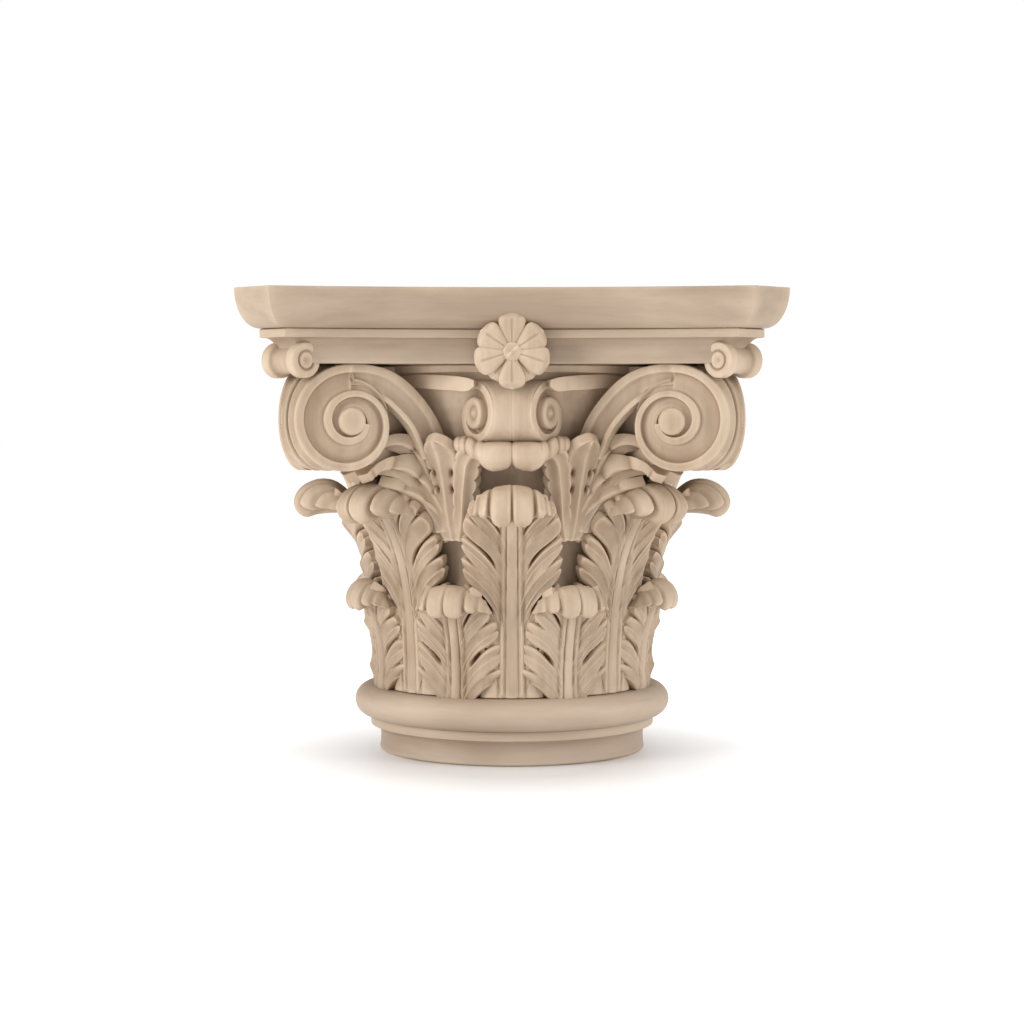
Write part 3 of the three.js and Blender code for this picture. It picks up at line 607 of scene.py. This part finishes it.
def blade(path, half, thick, nt=60, nu=25, ribs=2.0, deep=0.6, bow=1.5, notches=(), crown=0.8, skew=0.0):
    """A leaf on any path of (azimuth, radius, height): fluted across, notched at the edge, standing along its own normal."""
    out = Part()
    t = np.linspace(0, 1, nt)
    u = np.linspace(-1, 1, nu)
    P = path(t)
    d = np.gradient(P, axis=0)
    lateral = d[:, 0] * P[:, 1]
    al = np.stack([lateral, np.hypot(d[:, 1], d[:, 2]) * np.sign(d[:, 2] + 1e-9) * 0 + np.hypot(d[:, 1], d[:, 2])], -1)
    al /= np.maximum(np.linalg.norm(al, axis=1, keepdims=True), 1e-9)
    ac = np.stack([al[:, 1], -al[:, 0]], -1)
    up = np.stack([d[:, 1], d[:, 2]], -1)
    up /= np.maximum(np.linalg.norm(up, axis=1, keepdims=True), 1e-9)
    nrm = np.stack([up[:, 1], -up[:, 0]], -1)
    w = half(t)
    D = np.zeros_like(t)
    for c, dd, sp in notches:
        x = np.clip(1 - np.abs(t - c) / sp, 0, 1)
        D = np.maximum(D, (dd - 0.08) * x**4 + 0.08 * x**1.5)
    T, U = np.meshgrid(t, u, indexing="ij")
    Wd = (w * (1 - D))[:, None] * U
    frac = np.abs(Wd) / w[:, None]
    H = bow * (1 - frac**2) + deep * np.cos(frac * math.pi * ribs) * smooth(T, 0.0, 0.3) - 1.3 * smooth(np.abs(U), 0.8, 1.0) ** 2
    H += crown * np.exp(-((frac / 0.13) ** 2)) * (1 - smooth(T, 0.8, 1.0))
    # drilled eyes at the inner end of the deeper notches
    eye = np.zeros_like(H)
    for c, dd, sp in notches:
        if dd > 0.305:
            eye = np.maximum(eye, np.exp(-(((T - c + 0.02) / 0.036) ** 2) - (((frac - (1 - dd - 0.12)) / 0.10) ** 2)))
    H -= 3.4 * eye
    az = P[:, 0:1] + ac[:, 0:1] * Wd / P[:, 1:2]
    lift_ = ac[:, 1:2] * Wd
    Rm = P[:, 1:2] + up[:, 0:1] * lift_
    Zm = P[:, 2:3] + up[:, 1:2] * lift_
    F = place(az, Rm + nrm[:, 0:1] * (thick / 2 + H), Zm + nrm[:, 1:2] * (thick / 2 + H))
    back = (thick * (1.5 - 1.1 * smooth(t, 0.55, 0.85)))[:, None]
    B = place(az, Rm - nrm[:, 0:1] * back, Zm - nrm[:, 1:2] * back)
    # painted shade in the flutes, along the edges and in the drilled eyes
    shade_mask = np.clip(0.25 * (0.5 - 0.5 * np.cos(frac * math.pi * ribs)) * smooth(T, 0, 0.3) + 0.3 * smooth(np.abs(U), 0.9, 1) + 0.9 * eye, 0, 0.95)
    out.shell(F, B, shade_mask)
    return out


def ramp(*pairs):
    xs, ys = zip(*pairs)
    return lambda t: np.interp(t, xs, ys)


calyx = Part()
calyx.copy(blade(
    spline([(MID, 94.0, 146), (MID, 99.5, 158), (MID, 107, 180), (MID, 113.5, 196), (MID, 118.0, 203.2), (MID, 122.0, 206.6), (MID, 124.5, 208.6), (MID, 126.0, 210.0)]),
    ramp((0, 9.5), (0.12, 8.6), (0.25, 8.2), (0.5, 8.6), (0.66, 10.4), (0.74, 11.0), (0.80, 10.8), (0.86, 10.0), (0.91, 8.6), (0.95, 6.8), (0.98, 4.2), (1, 1.0)), 7, nt=60, nu=25, ribs=2, deep=0.5,
    notches=((0.36, 0.22, 0.06), (0.49, 0.34, 0.07), (0.64, 0.31, 0.07)),
))
# branch that sweeps toward the corner and rolls under the volute
calyx.copy(blade(
    spline([(MID + 2.5 * RAD, 94, 146), (MID + 6.0 * RAD, 101, 162), (MID + 10 * RAD, 109, 178), (MID + 14.5 * RAD, 119, 189), (MID + 19 * RAD, 130, 191.5), (MID + 22 * RAD, 138.5, 185)]),
    ramp((0, 8.5), (0.3, 8.8), (0.6, 12), (0.8, 12.5), (0.93, 10.5), (1, 6)), 7, nt=48, nu=19, ribs=2, deep=0.6,
    notches=((0.40, 0.22, 0.06), (0.56, 0.34, 0.07), (0.74, 0.34, 0.07), (0.9, 0.24, 0.05)),
))
calyx.copy(blade(
    spline([(MID + 5 * RAD, 97, 150), (MID + 7.5 * RAD, 105, 176), (MID + 10 * RAD, 112, 193), (MID + 13 * RAD, 119, 204), (MID + 17 * RAD, 127, 207), (MID + 20.5 * RAD, 134, 202)]),
    ramp((0, 6), (0.4, 8), (0.7, 9.5), (0.9, 8.5), (1, 5)), 7, nt=38, nu=17, ribs=2, deep=0.6,
    notches=((0.5, 0.25, 0.08), (0.7, 0.34, 0.08), (0.88, 0.25, 0.06)),
))
calyx.copy(blade(
    spline([(MID + 1.5 * RAD, 92.5, 146), (MID + 6.5 * RAD, 98, 157), (MID + 11.5 * RAD, 106, 168), (MID + 16 * RAD, 115, 176), (MID + 20 * RAD, 124, 181)]),
    ramp((0, 6), (0.3, 9), (0.6, 11), (0.85, 10), (1, 5)), 7, nt=26, nu=13, ribs=2, deep=0.6,
    notches=((0.5, 0.2, 0.08), (0.75, 0.25, 0.08)),
))
# branch that leans toward the middle and carries the lips
calyx.copy(blade(
    spline([(MID - 2.5 * RAD, 94, 146), (MID - 5.0 * RAD, 100, 158), (MID - 7.0 * RAD, 107.5, 180), (MID - 9.0 * RAD, 114, 196), (MID - 12 * RAD, 118, 203)]),
    ramp((0, 8.5), (0.3, 7.0), (0.6, 8.0), (0.85, 9.0), (1, 7)), 7, nt=38, nu=17, ribs=2, deep=0.6,
    notches=((0.35, 0.22, 0.06), (0.52, 0.3, 0.07), (0.68, 0.3, 0.07), (0.84, 0.2, 0.05)),
))


def pod(c, r, turn_z=0.0, n=30, m=18, ridge=0.0, flat=1.0):
    """A swelling lobe."""
    out = Part()
    th = np.linspace(0, math.pi, m + 2)[1:-1]
    ph = np.arange(n) * 2 * math.pi / n
    rings = []
    for a in th:
        x = np.cos(a) * np.ones(n)
        y = np.sin(a) * np.cos(ph)
        z = np.sin(a) * np.sin(ph)
        sx, sy, sz = (np.sign(v) * np.abs(v) ** flat for v in (x, y, z))
        p = np.stack([sx * r[0], sy * r[1], sz * r[2]], -1)
        ca, sa = math.cos(turn_z), math.sin(turn_z)
        p = p @ np.array([[ca, sa, 0], [-sa, ca, 0], [0, 0, 1]])
        rings.append(p + np.array(c))
    out.skin(np.stack(rings))
    return out


lips = Part()


def lip_roll(n=100, m=32):
    """One half of the pair of lips: a rolled lobe at the middle that thins and climbs outward in small lobes."""
    out = Part()
    sec = spline([(108, 191), (116, 189.5), (124, 188.6), (130, 190), (133.5, 195), (133.4, 200), (130, 204.6), (122, 206.6), (112, 206.2), (105, 203)] + [(108, 191)])
    s = sec(np.arange(m) / m)
    x = np.linspace(0.03, 42, n)
    mid_z = np.interp(x, [0, 18, 22, 28, 36, 42], [197.8, 197.8, 200.2, 203.6, 204.6, 204.8])
    under = np.interp(x, [0, 1, 3, 7, 12, 15, 18, 21, 22.5, 42], [0.66, 0.74, 0.88, 1.0, 1.06, 0.98, 0.80, 0.66, 0.92, 1.0])
    size = np.interp(x, [0, 0.8, 2.5, 6, 12, 16, 19, 21.4, 22.6, 24, 26, 28, 29.4, 31, 33, 34.6, 36, 38.5, 41, 42], [0.88, 0.93, 0.98, 1.0, 1.0, 0.98, 0.93, 0.82, 0.68, 0.72, 0.74, 0.70, 0.58, 0.66, 0.66, 0.54, 0.58, 0.54, 0.34, 0.1])
    out_r = np.interp(x, [0, 20, 30, 42], [0, 0, -3.0, -8.5])
    anchor = np.array([112.0, 198.0])
    rings, shade_mask = [], []
    for k, xx in enumerate(x):
        p = anchor + (s - anchor) * np.array([0.35 + 0.65 * size[k], size[k]]) * np.where((s[:, 1] < anchor[1])[:, None], [1.0, under[k]], [1.0, 1.0])
        p[:, 1] += mid_z[k] - 198.0 + 0.4
        p[:, 0] += out_r[k]
        rings.append(place(np.full(m, xx / 127.0), p[:, 0], p[:, 1]))
        # painted shade at the middle, where the two halves meet, and between the small lobes
        shade_mask.append(np.full(m, 0.3 * math.exp(-((xx / 0.5) ** 2)) + 0.35 * math.exp(-(((xx - 23.8) / 0.8) ** 2)) + 0.3 * math.exp(-(((xx - 30) / 0.7) ** 2))))
    out.skin(np.stack(rings), np.stack(shade_mask))
    return out


lips.copy(lip_roll())

# ------------------------------------------------------------------ corner volutes
EYE_S, EYE_V, EYE_Z, TILT = 162.0, 23.6, 219.2, 25.3 * RAD
DIAG = np.array([math.sqrt(0.5), -math.sqrt(0.5)])
SQ = np.array([-math.sqrt(0.5), -math.sqrt(0.5)])


def sv(s, v, z):
    return np.stack([s * DIAG[0] + v * SQ[0], s * DIAG[1] + v * SQ[1], z + 0 * s], -1)


def on_face(a, b, n):
    return sv(EYE_S + a * math.cos(TILT) + n * math.sin(TILT), EYE_V - a * math.sin(TILT) + n * math.cos(TILT), EYE_Z + b)


SPIRAL = spline([(0, 34.9), (0.25, 35.6), (0.5, 30.4), (0.75, 23.8), (1.0, 18.9), (1.25, 17.6), (1.5, 14.3), (1.75, 10.8), (2.0, 8.6), (2.25, 7.2), (2.5, 5.6), (2.75, 4.0)])
_sq = SPIRAL(np.linspace(0, 1, 800))


def radius(q):
    return np.interp(q, _sq[:, 0], _sq[:, 1])


def spiral_strip(on, rad, q0, q1, nq, rim, floor, lift, scale=1.0, back=-7.0):
    out = Part()
    q = np.linspace(q0, q1, nq)
    w = np.array([0, 0.001, 0.02, 0.06, 0.12, 0.2, 0.26, 0.30, 0.335, 0.36, 0.39, 0.45, 0.52, 0.6, 0.7, 0.8, 0.9, 0.97, 1.06])
    Q, W = np.meshgrid(q, w, indexing="ij")
    ro, ri = rad(Q), rad(Q + 1)
    # the raised band takes more of the width as it winds in
    band = np.interp(Q, [0, 0.8, 1.2, 1.72], [0.335, 0.335, 0.50, 0.62])
    Wv = np.where(W < 0.335, W / 0.335 * band, band + (W - 0.335) / 0.725 * (1.06 - band))
    Rr = ro + (ri - ro) * Wv
    h = np.interp(w, [0, 0.001, 0.02, 0.06, 0.12, 0.2, 0.26, 0.30, 0.335, 0.36, 0.39, 0.45, 0.52, 0.6, 0.7, 0.8, 0.9, 0.97, 1.06],
                  [-1.2, -0.9, -0.35, -0.08, 0, 0, -0.08, -0.35, -1.6, -2.7, -3.1, -3.4, -3.5, -3.4, -3.1, -2.7, -2.4, -2.5, -2.9])
    h = h * floor
    Hh = h[None, :] * np.ones_like(Q) + lift(Rr)
    ang = math.pi / 2 - Q * 2 * math.pi
    A, Bb = Rr * np.cos(ang), Rr * np.sin(ang)
    F = on(A * scale, Bb, Hh)
    K = on(A * scale, Bb, np.full_like(A, back))
    # painted shade in the channel beside the raised band and at the inner edge of the strip
    shade_mask = np.interp(w, [0, 0.30, 0.34, 0.39, 0.6, 0.9, 1.06], [0.05, 0.0, 0.55, 0.5, 0.14, 0.22, 0.7])[None, :] * np.ones_like(Q)
    out.shell(F, K, shade_mask)
    return out


lift = lambda r: 4.2 * (1 - np.clip(r / 26.0, 0, 1)) ** 1.2
volute = Part()
volute.copy(spiral_strip(on_face, radius, 0.0, 1.72, 165, 0.3, 1.0, lift))
# the eye
th = np.arange(40) * 2 * math.pi / 40
rings = []
for n_, r_ in ((-7, 8.6), (0.8, 8.6), (2.4, 8.2), (3.4, 7.2), (3.9, 5.8), (4.2, 4.2), (4.3, 2.0)):
    rings.append(on_face(r_ * np.cos(th), r_ * np.sin(th), np.full_like(th, n_)))
volute.skin(np.stack(rings))
# the drum: outer edge of the scroll from the face back to the diagonal
q = np.linspace(0, 1, 96, endpoint=False)
ro = np.where(q > 0.75, radius(0.75) + (26.5 - radius(0.75)) * (q - 0.75) / 0.25, radius(q))
ang = math.pi / 2 - q * 2 * math.pi
A, Bb = ro * np.cos(ang), ro * np.sin(ang)


def mixed(k, f):
    """From the face (k=0) to the diagonal (k=1), scaled by f."""
    p = on_face(A * f, Bb * f, np.full_like(A, -1.0))
    s = EYE_S + A * f * math.cos(TILT)
    d = sv(s, np.full_like(s, 0.4), EYE_Z + Bb * f)
    return p + (d - p) * k


rings = [on_face(A * 0.6, Bb * 0.6, np.full_like(A, -4.5)), on_face(A * 0.9, Bb * 0.9, np.full_like(A, -4.0)), mixed(0.0, 0.985), mixed(0.03, 0.998)]
for k in np.linspace(0.08, 0.78, 8):
    rings.append(mixed(k, 1.0 - 0.035 * math.sin(math.pi * (k - 0.08) / 0.7) ** 0.8))
rings += [mixed(0.84, 0.995), mixed(0.9, 0.975), mixed(0.95, 0.94), mixed(1.0, 0.90)]
volute.skin(np.stack(rings))

# channelled strap from the stalk leaves over the top of the volute
outer_edge = spline([(-66.5, -19.5, -9), (-63.3, -11.5, -8), (-55.8, 3.3, -6), (-45.9, 15.7, -4), (-34.9, 25.6, -2), (-23.4, 31.8, -0.8), (-11.2, 34.6, 0), (0, 34.9, 0)])
inner_edge = spline([(-48.5, -24, -8), (-45.7, -17.4, -7), (-42, -9.5, -6), (-37.5, -2.5, -4.5), (-28.3, 6.7, -2.5), (-19.5, 13.2, -1), (-10.5, 17.2, -0.6), (1.5, 18.6, -0.6)])
strap = Part()
t = np.linspace(0, 1, 70)
O, I = outer_edge(t), inner_edge(t)
sec_w = np.array([0, 0.01, 0.05, 0.12, 0.17, 0.205, 0.25, 0.32, 0.42, 0.52, 0.6, 0.655, 0.69, 0.72, 0.80, 0.9, 0.96, 0.99, 1.0])
sec_h = np.array([-1.2, -0.3, 0, 0, -0.3, -1.4, -2.4, -3.1, -3.5, -3.3, -2.8, -2.2, -1.0, -0.2, 0, 0, -0.1, -0.4, -1.2])
fade = 1.0
rings = []
for k_, (o, i) in enumerate(zip(O, I)):
    fadein = smooth(t[k_], 0.62, 0.8)
    sh = np.where(sec_w < 0.22, sec_h + (-3.2 - sec_h) * fadein, sec_h)
    a = i[0] + (o[0] - i[0]) * sec_w
    b = i[1] + (o[1] - i[1]) * sec_w
    n_ = i[2] + (o[2] - i[2]) * sec_w
    top = on_face(a, b, n_ + sh)
    bot = on_face(a[::-1], b[::-1], n_[::-1] - 13)
    rings.append(np.vstack([top, bot]))
strap.skin(np.stack(rings))
volute.copy(strap)

# corner core between bell and volutes
core = Part()
rings = []
for s_, v_, z0 in ((85, 15, 180), (112, 16, 184), (135, 13, 192), (150, 10, 200)):
    v = np.array([-v_, v_, v_, -v_], float)
    z = np.array([z0, z0, BELL_TOP - 1, BELL_TOP - 1], float)
    rings.append(sv(np.full(4, float(s_)), v, z))
core.skin(np.stack(rings))

# ------------------------------------------------------------------ inner scrolls
HX, HY, HZ, HT = 23.3, 116.6, 224.0, 51.5 * RAD


def on_helix(a, b, n):
    x = HX - a * math.cos(HT) + n * math.sin(HT)
    y = -HY - a * math.sin(HT) - n * math.cos(HT)
    return np.stack([x, y, HZ + b], -1)


HS = spline([(0, 20.3), (0.25, 18.6), (0.5, 17.8), (0.75, 12.8), (1.0, 9.4), (1.25, 8.2), (1.5, 7.2), (1.75, 6.0), (2.0, 4.6), (2.5, 2.0)])
_hq = HS(np.linspace(0, 1, 500))
hrad = lambda q: np.interp(q, _hq[:, 0], _hq[:, 1])
helix = Part()
# rim
q = np.linspace(0.0, 1.0, 90)
ang = math.pi / 2 - q * 2 * math.pi
ro = hrad(q)
wd = np.interp(q, [0, 0.25, 0.5, 0.75, 1.0], [5.0, 5.2, 5.2, 4.4, 3.4])
rings = []
for k in range(len(q)):
    rr = ro[k] - wd[k] * np.array([0, 0.0, 0.06, 0.2, 0.5, 0.85, 0.96, 1.0, 1.0])
    hh = np.array([-7, -0.8, -0.2, 0, 0, 0, -0.3, -1.2, -7.0])
    rings.append(on_helix(rr * math.cos(ang[k]), rr * math.sin(ang[k]), hh))
helix.skin(np.stack(rings))
# inner curl
rings = []
for n_, f_ in ((-7, 1.0), (-1.2, 1.0), (-0.3, 0.93), (0.1, 0.8), (-0.2, 0.55), (-1.0, 0.42), (-0.8, 0.30), (0.2, 0.15)):
    rings.append(on_helix(8.4 * f_ * np.cos(th) - 2.0, 10.0 * f_ * np.sin(th) + 0.3, np.full_like(th, n_)))
helix.skin(np.stack(rings))
# the roll from the face to the middle of the side
q = np.linspace(0, 1, 72, endpoint=False)
ang = math.pi / 2 - q * 2 * math.pi
ro = np.where(q > 0.75, 12.8 + (20.3 - 12.8) * (q - 0.75) / 0.25, hrad(q))
A, Bb = ro * np.cos(ang), ro * np.sin(ang)


def to_mid(k, f, n=-1.0):
    p = on_helix(A * f, Bb * f, np.full_like(A, n))
    d = p.copy()
    d[:, 0] = 0.03
    return p + (d - p) * k


rings = [on_helix(A * 0.5, Bb * 0.5, np.full_like(A, -5.0)), on_helix(A * 0.75, Bb * 0.75, np.full_like(A, -5.0)), to_mid(0, 0.985), to_mid(0.03, 1.0)]
for k in (0.2, 0.4, 0.6, 0.8, 0.9):
    rings.append(to_mid(k, 1.0))
rings += [to_mid(0.965, 0.998), to_mid(1.0, 0.982)]
helix.skin(np.stack(rings))
# strap that runs from behind the volute strap to the scroll
hs_path = spline([(70, -96, 247.2, 240.0), (58, -104.5, 248.2, 239.8), (45, -113, 247.8, 238.8), (35, -119.5, 247.0, 238.2), (29.5, -123.0, 246.2, 237.6), (26.0, -124.6, 245.4, 238.6), (23.5, -125.6, 244.4, 240.6)])
rings = []
for x, y, top, low in hs_path(np.linspace(0, 1, 40)):
    d = np.array([-(1.0), 0.62, 0])  # back, into the bell
    p0 = np.array([x, y, 0.0])
    rings.append([p0 + [0, 0, top - 0.5], p0 + [0, 0.3, top], p0 + [-3, 12, top], p0 + [-3, 12, low], p0 + [0, 0.3, low], p0 + [0, 0, low + 0.5]])
helix.skin(np.array(rings))

side = Part()
for mir in (False, True):
    for piece in (calyx, lips):
        side.copy(piece, 0, mir)
scrolls = Part()
inner = Part()
for mir in (False, True):
    scrolls.copy(volute, 0, mir)
    inner.copy(helix, 0, mir)
scrolls.copy(core)

allsides, allscrolls, allinner = Part(), Part(), Part()
for k in range(4):
    allsides.copy(side, 90 * k)
    allscrolls.copy(scrolls, 90 * k)
    allinner.copy(inner, 90 * k)

bell.build("bell_core", carving, "carved_wood", ["carved_bell"], 30)
row1.build("lower_leaves", carving, "carved_wood", ["carved_bell"], 50)
row2.build("upper_leaves", carving, "carved_wood", ["carved_bell"], 50)
tips2.build("upper_leaf_tips", carving, "carved_wood", ["carved_bell"], 50)
allsides.build("stalk_leaves", carving, "carved_wood", ["carved_bell"], 50)
allscrolls.build("corner_scrolls", carving, "carved_wood", ["carved_bell"], 40)
allinner.build("inner_scrolls", carving, "carved_wood", ["carved_bell"], 40)

# ------------------------------------------------------------------ rosettes
RZ, RB, RF = 261.5, 131.6, 148.0
PETALS = [(90, 24.0, 21.5), (34, 22.8, 21.5), (-18, 23.6, 21.5), (-90, 22.8, 21.5), (198, 23.6, 21.5), (146, 22.8, 21.5)]
UNDER = [(-52, 20.5, 14), (232, 20.5, 14)]


def petal(angle, reach, spread, front, deep=1.2, back=RB):
    out = Part()
    n1, n2 = 26, 25
    rr = np.linspace(0.12, 1, n1)
    u = np.linspace(-1, 1, n2)
    Rr, U = np.meshgrid(rr, u, indexing="ij")
    width = spread * np.interp(Rr, [0.12, 0.3, 0.5, 0.68, 0.78, 0.86, 0.92, 0.96, 0.985, 1.0], [0.36, 0.56, 0.80, 0.97, 1.0, 0.93, 0.78, 0.58, 0.36, 0.08])
    along = Rr * reach
    x = U * np.maximum(width, 0.05)
    # rounded crest each side of the middle groove, dipping to the edge and toward the boss
    h = 1.9 * (1 - np.abs(U) ** 2.6) - 0.9 * np.abs(U) ** 6 + 1.0 * np.sin(Rr * math.pi) - 1.6 * smooth(Rr, 0.8, 1.0) - 1.0 * (1 - smooth(Rr, 0.1, 0.35))
    h -= 0.5 * np.exp(-((U / 0.10) ** 2)) * (1 - smooth(Rr, 0.75, 0.9))
    a = angle * RAD
    px = along * math.cos(a) - x * math.sin(a)
    pz = along * math.sin(a) + x * math.cos(a)
    F = np.stack([px, -(front + h), RZ + pz], -1)
    B = np.stack([px, np.full_like(px, -back), RZ + pz], -1)
    # painted shade in the middle groove and along the edges of each petal
    shade_mask = 0.4 * np.exp(-((U / 0.08) ** 2)) * (1 - smooth(Rr, 0.75, 0.9)) + 0.3 * smooth(np.abs(U), 0.93, 1.0)
    out.shell(F, B, shade_mask)
    return out


ros = Part()
for a_, r_, s_ in PETALS:
    ros.copy(petal(a_, r_, 8.2 if a_ in (90, -90) else 8.7, RF - 2.9))
for a_, r_, s_ in UNDER:
    ros.copy(petal(a_, r_, 7.0, RF - 6.5))
ph = np.arange(36) * 2 * math.pi / 36
rings = []
for y_, r_ in ((RB + 2, 6.0), (RF - 3.4, 6.2), (RF - 1.6, 5.9), (RF - 0.7, 4.9), (RF - 0.15, 3.4), (RF, 1.6)):
    rings.append(np.stack([r_ * np.cos(ph), np.full_like(ph, -y_), RZ + r_ * np.sin(ph)], -1))
ros.skin(np.stack(rings))
rings = []
for y_, r_ in ((RB, 14.0), (RF - 7.0, 14.5)):
    rings.append(np.stack([r_ * np.cos(ph), np.full_like(ph, -y_), RZ + r_ * np.sin(ph)], -1))
ros.skin(np.stack(rings))
for name, turn in (("front", 0), ("right", 90), ("back", 180), ("left", 270)):
    p = Part().copy(ros, turn)
    p.build("flower_" + name, carving, "carved_wood", ["rosette_" + name], 45)

# ------------------------------------------------------------------ corner spools
SS, SZ, SR, SH = 190.6, 256.3, 10.8, 15.5
spool = Part()
prof = [(0.8, -SH + 1.2), (2.4, -SH + 0.2), (4.2, -SH), (5.0, -SH + 0.5), (5.3, -SH + 1.3), (6.0, -SH + 1.3), (6.4, -SH + 0.5), (7.2, -SH), (9.6, -SH), (10.5, -SH + 0.4), (SR, -SH + 1.2), (SR, -SH + 6.5), (SR - 0.4, -SH + 7.4), (SR - 1.6, -SH + 8.2), (SR - 2.2, -SH + 9.5), (SR - 2.6, -SH + 12), (SR - 2.7, 0)]
prof = prof + [(r, -h) for r, h in prof[-2::-1]]
ph = np.arange(48) * 2 * math.pi / 48
rings = []
for r_, h_ in prof:
    rings.append(sv(SS + r_ * np.cos(ph), np.full_like(ph, h_), SZ + r_ * np.sin(ph)))
spool.skin(np.stack(rings))
for name, turn in (("front_right", 0), ("back_right", 90), ("back_left", 180), ("front_left", 270)):
    p = Part().copy(spool, turn)
    p.build("spool_" + name, carving, "carved_wood", ["corner_roll_" + name], 35)

# ------------------------------------------------------------------ studio
floor_mat = bpy.data.materials.new("studio_floor")
floor_mat.use_nodes = True
fb = floor_mat.node_tree.nodes["Principled BSDF"]
fb.inputs["Base Color"].default_value = (0.80, 0.80, 0.80, 1)
fb.inputs["Roughness"].default_value = 0.28
fb.inputs["Specular IOR Level"].default_value = 0.35
fb.inputs["Emission Color"].default_value = (1, 1, 1, 1)
ft = floor_mat.node_tree
# painted light and shadow on the floor: it glows to stay evenly white far off, but the glow fades to nothing near a
# point 7 cm in front of the base, painting a darker patch in front of and around the base
ftc = ft.nodes.new("ShaderNodeTexCoord")
fln = ft.nodes.new("ShaderNodeVectorMath")
fln.operation = "LENGTH"
fsh = ft.nodes.new("ShaderNodeVectorMath")
fsh.operation = "ADD"
fsh.inputs[1].default_value = (0.0, 0.07, 0.0)
ft.links.new(ftc.outputs["Object"], fsh.inputs[0])
ft.links.new(fsh.outputs[0], fln.inputs[0])
fmr = ft.nodes.new("ShaderNodeMapRange")
fmr.inputs["From Min"].default_value = 0.06
fmr.inputs["From Max"].default_value = 0.21
fmr.inputs["To Min"].default_value = 0.0
fmr.inputs["To Max"].default_value = 0.62
ft.links.new(fln.outputs["Value"], fmr.inputs["Value"])
ft.links.new(fmr.outputs[0], fb.inputs["Emission Strength"])
me = bpy.data.meshes.new("studio_floor")
S_ = 12.0
# a hair under the part, so the two flat faces never share a plane
LOW_ = -0.0003
me.from_pydata([(-S_, -S_, LOW_), (S_, -S_, LOW_), (S_, S_, LOW_), (-S_, S_, LOW_)], [], [(0, 1, 2, 3)])
me.materials.append(floor_mat)
floor = bpy.data.objects.new("studio_floor", me)
bpy.context.scene.collection.objects.link(floor)

world = bpy.data.worlds.new("studio")
bpy.context.scene.world = world
world.use_nodes = True
bg = world.node_tree.nodes["Background"]
bg.inputs[0].default_value = (1, 1, 1, 1)
wt = world.node_tree
lp = wt.nodes.new("ShaderNodeLightPath")
ws_ = wt.nodes.new("ShaderNodeMapRange")
ws_.inputs["To Min"].default_value = 0.44
ws_.inputs["To Max"].default_value = 1.0
wt.links.new(lp.outputs["Is Camera Ray"], ws_.inputs["Value"])
wt.links.new(ws_.outputs[0], bg.inputs[1])


def area(name, loc, target, size, power):
    d = bpy.data.lights.new(name, "AREA")
    d.shape = "RECTANGLE"
    d.size, d.size_y = size
    d.energy = power
    o = bpy.data.objects.new(name, d)
    bpy.context.scene.collection.objects.link(o)
    o.location = loc
    v = np.array(target, float) - np.array(loc, float)
    from mathutils import Vector

    o.rotation_euler = Vector(v).to_track_quat("-Z", "Y").to_euler()
    return o


area("left_softbox", (-1.7, -1.1, 0.75), (0, 0, 0.17), (0.9, 1.2), 31)
area("right_softbox", (1.8, -0.9, 0.7), (0, 0, 0.17), (0.8, 1.1), 20)
area("top_softbox", (0, -0.7, 1.9), (0, 0, 0.1), (1.4, 1.0), 17)

sc = bpy.context.scene
sc.view_settings.view_transform = "Standard"
sc.view_settings.look = "None"
sc.view_settings.exposure = 0.0
sc.view_settings.gamma = 1.0

bpy.context.view_layer.update()
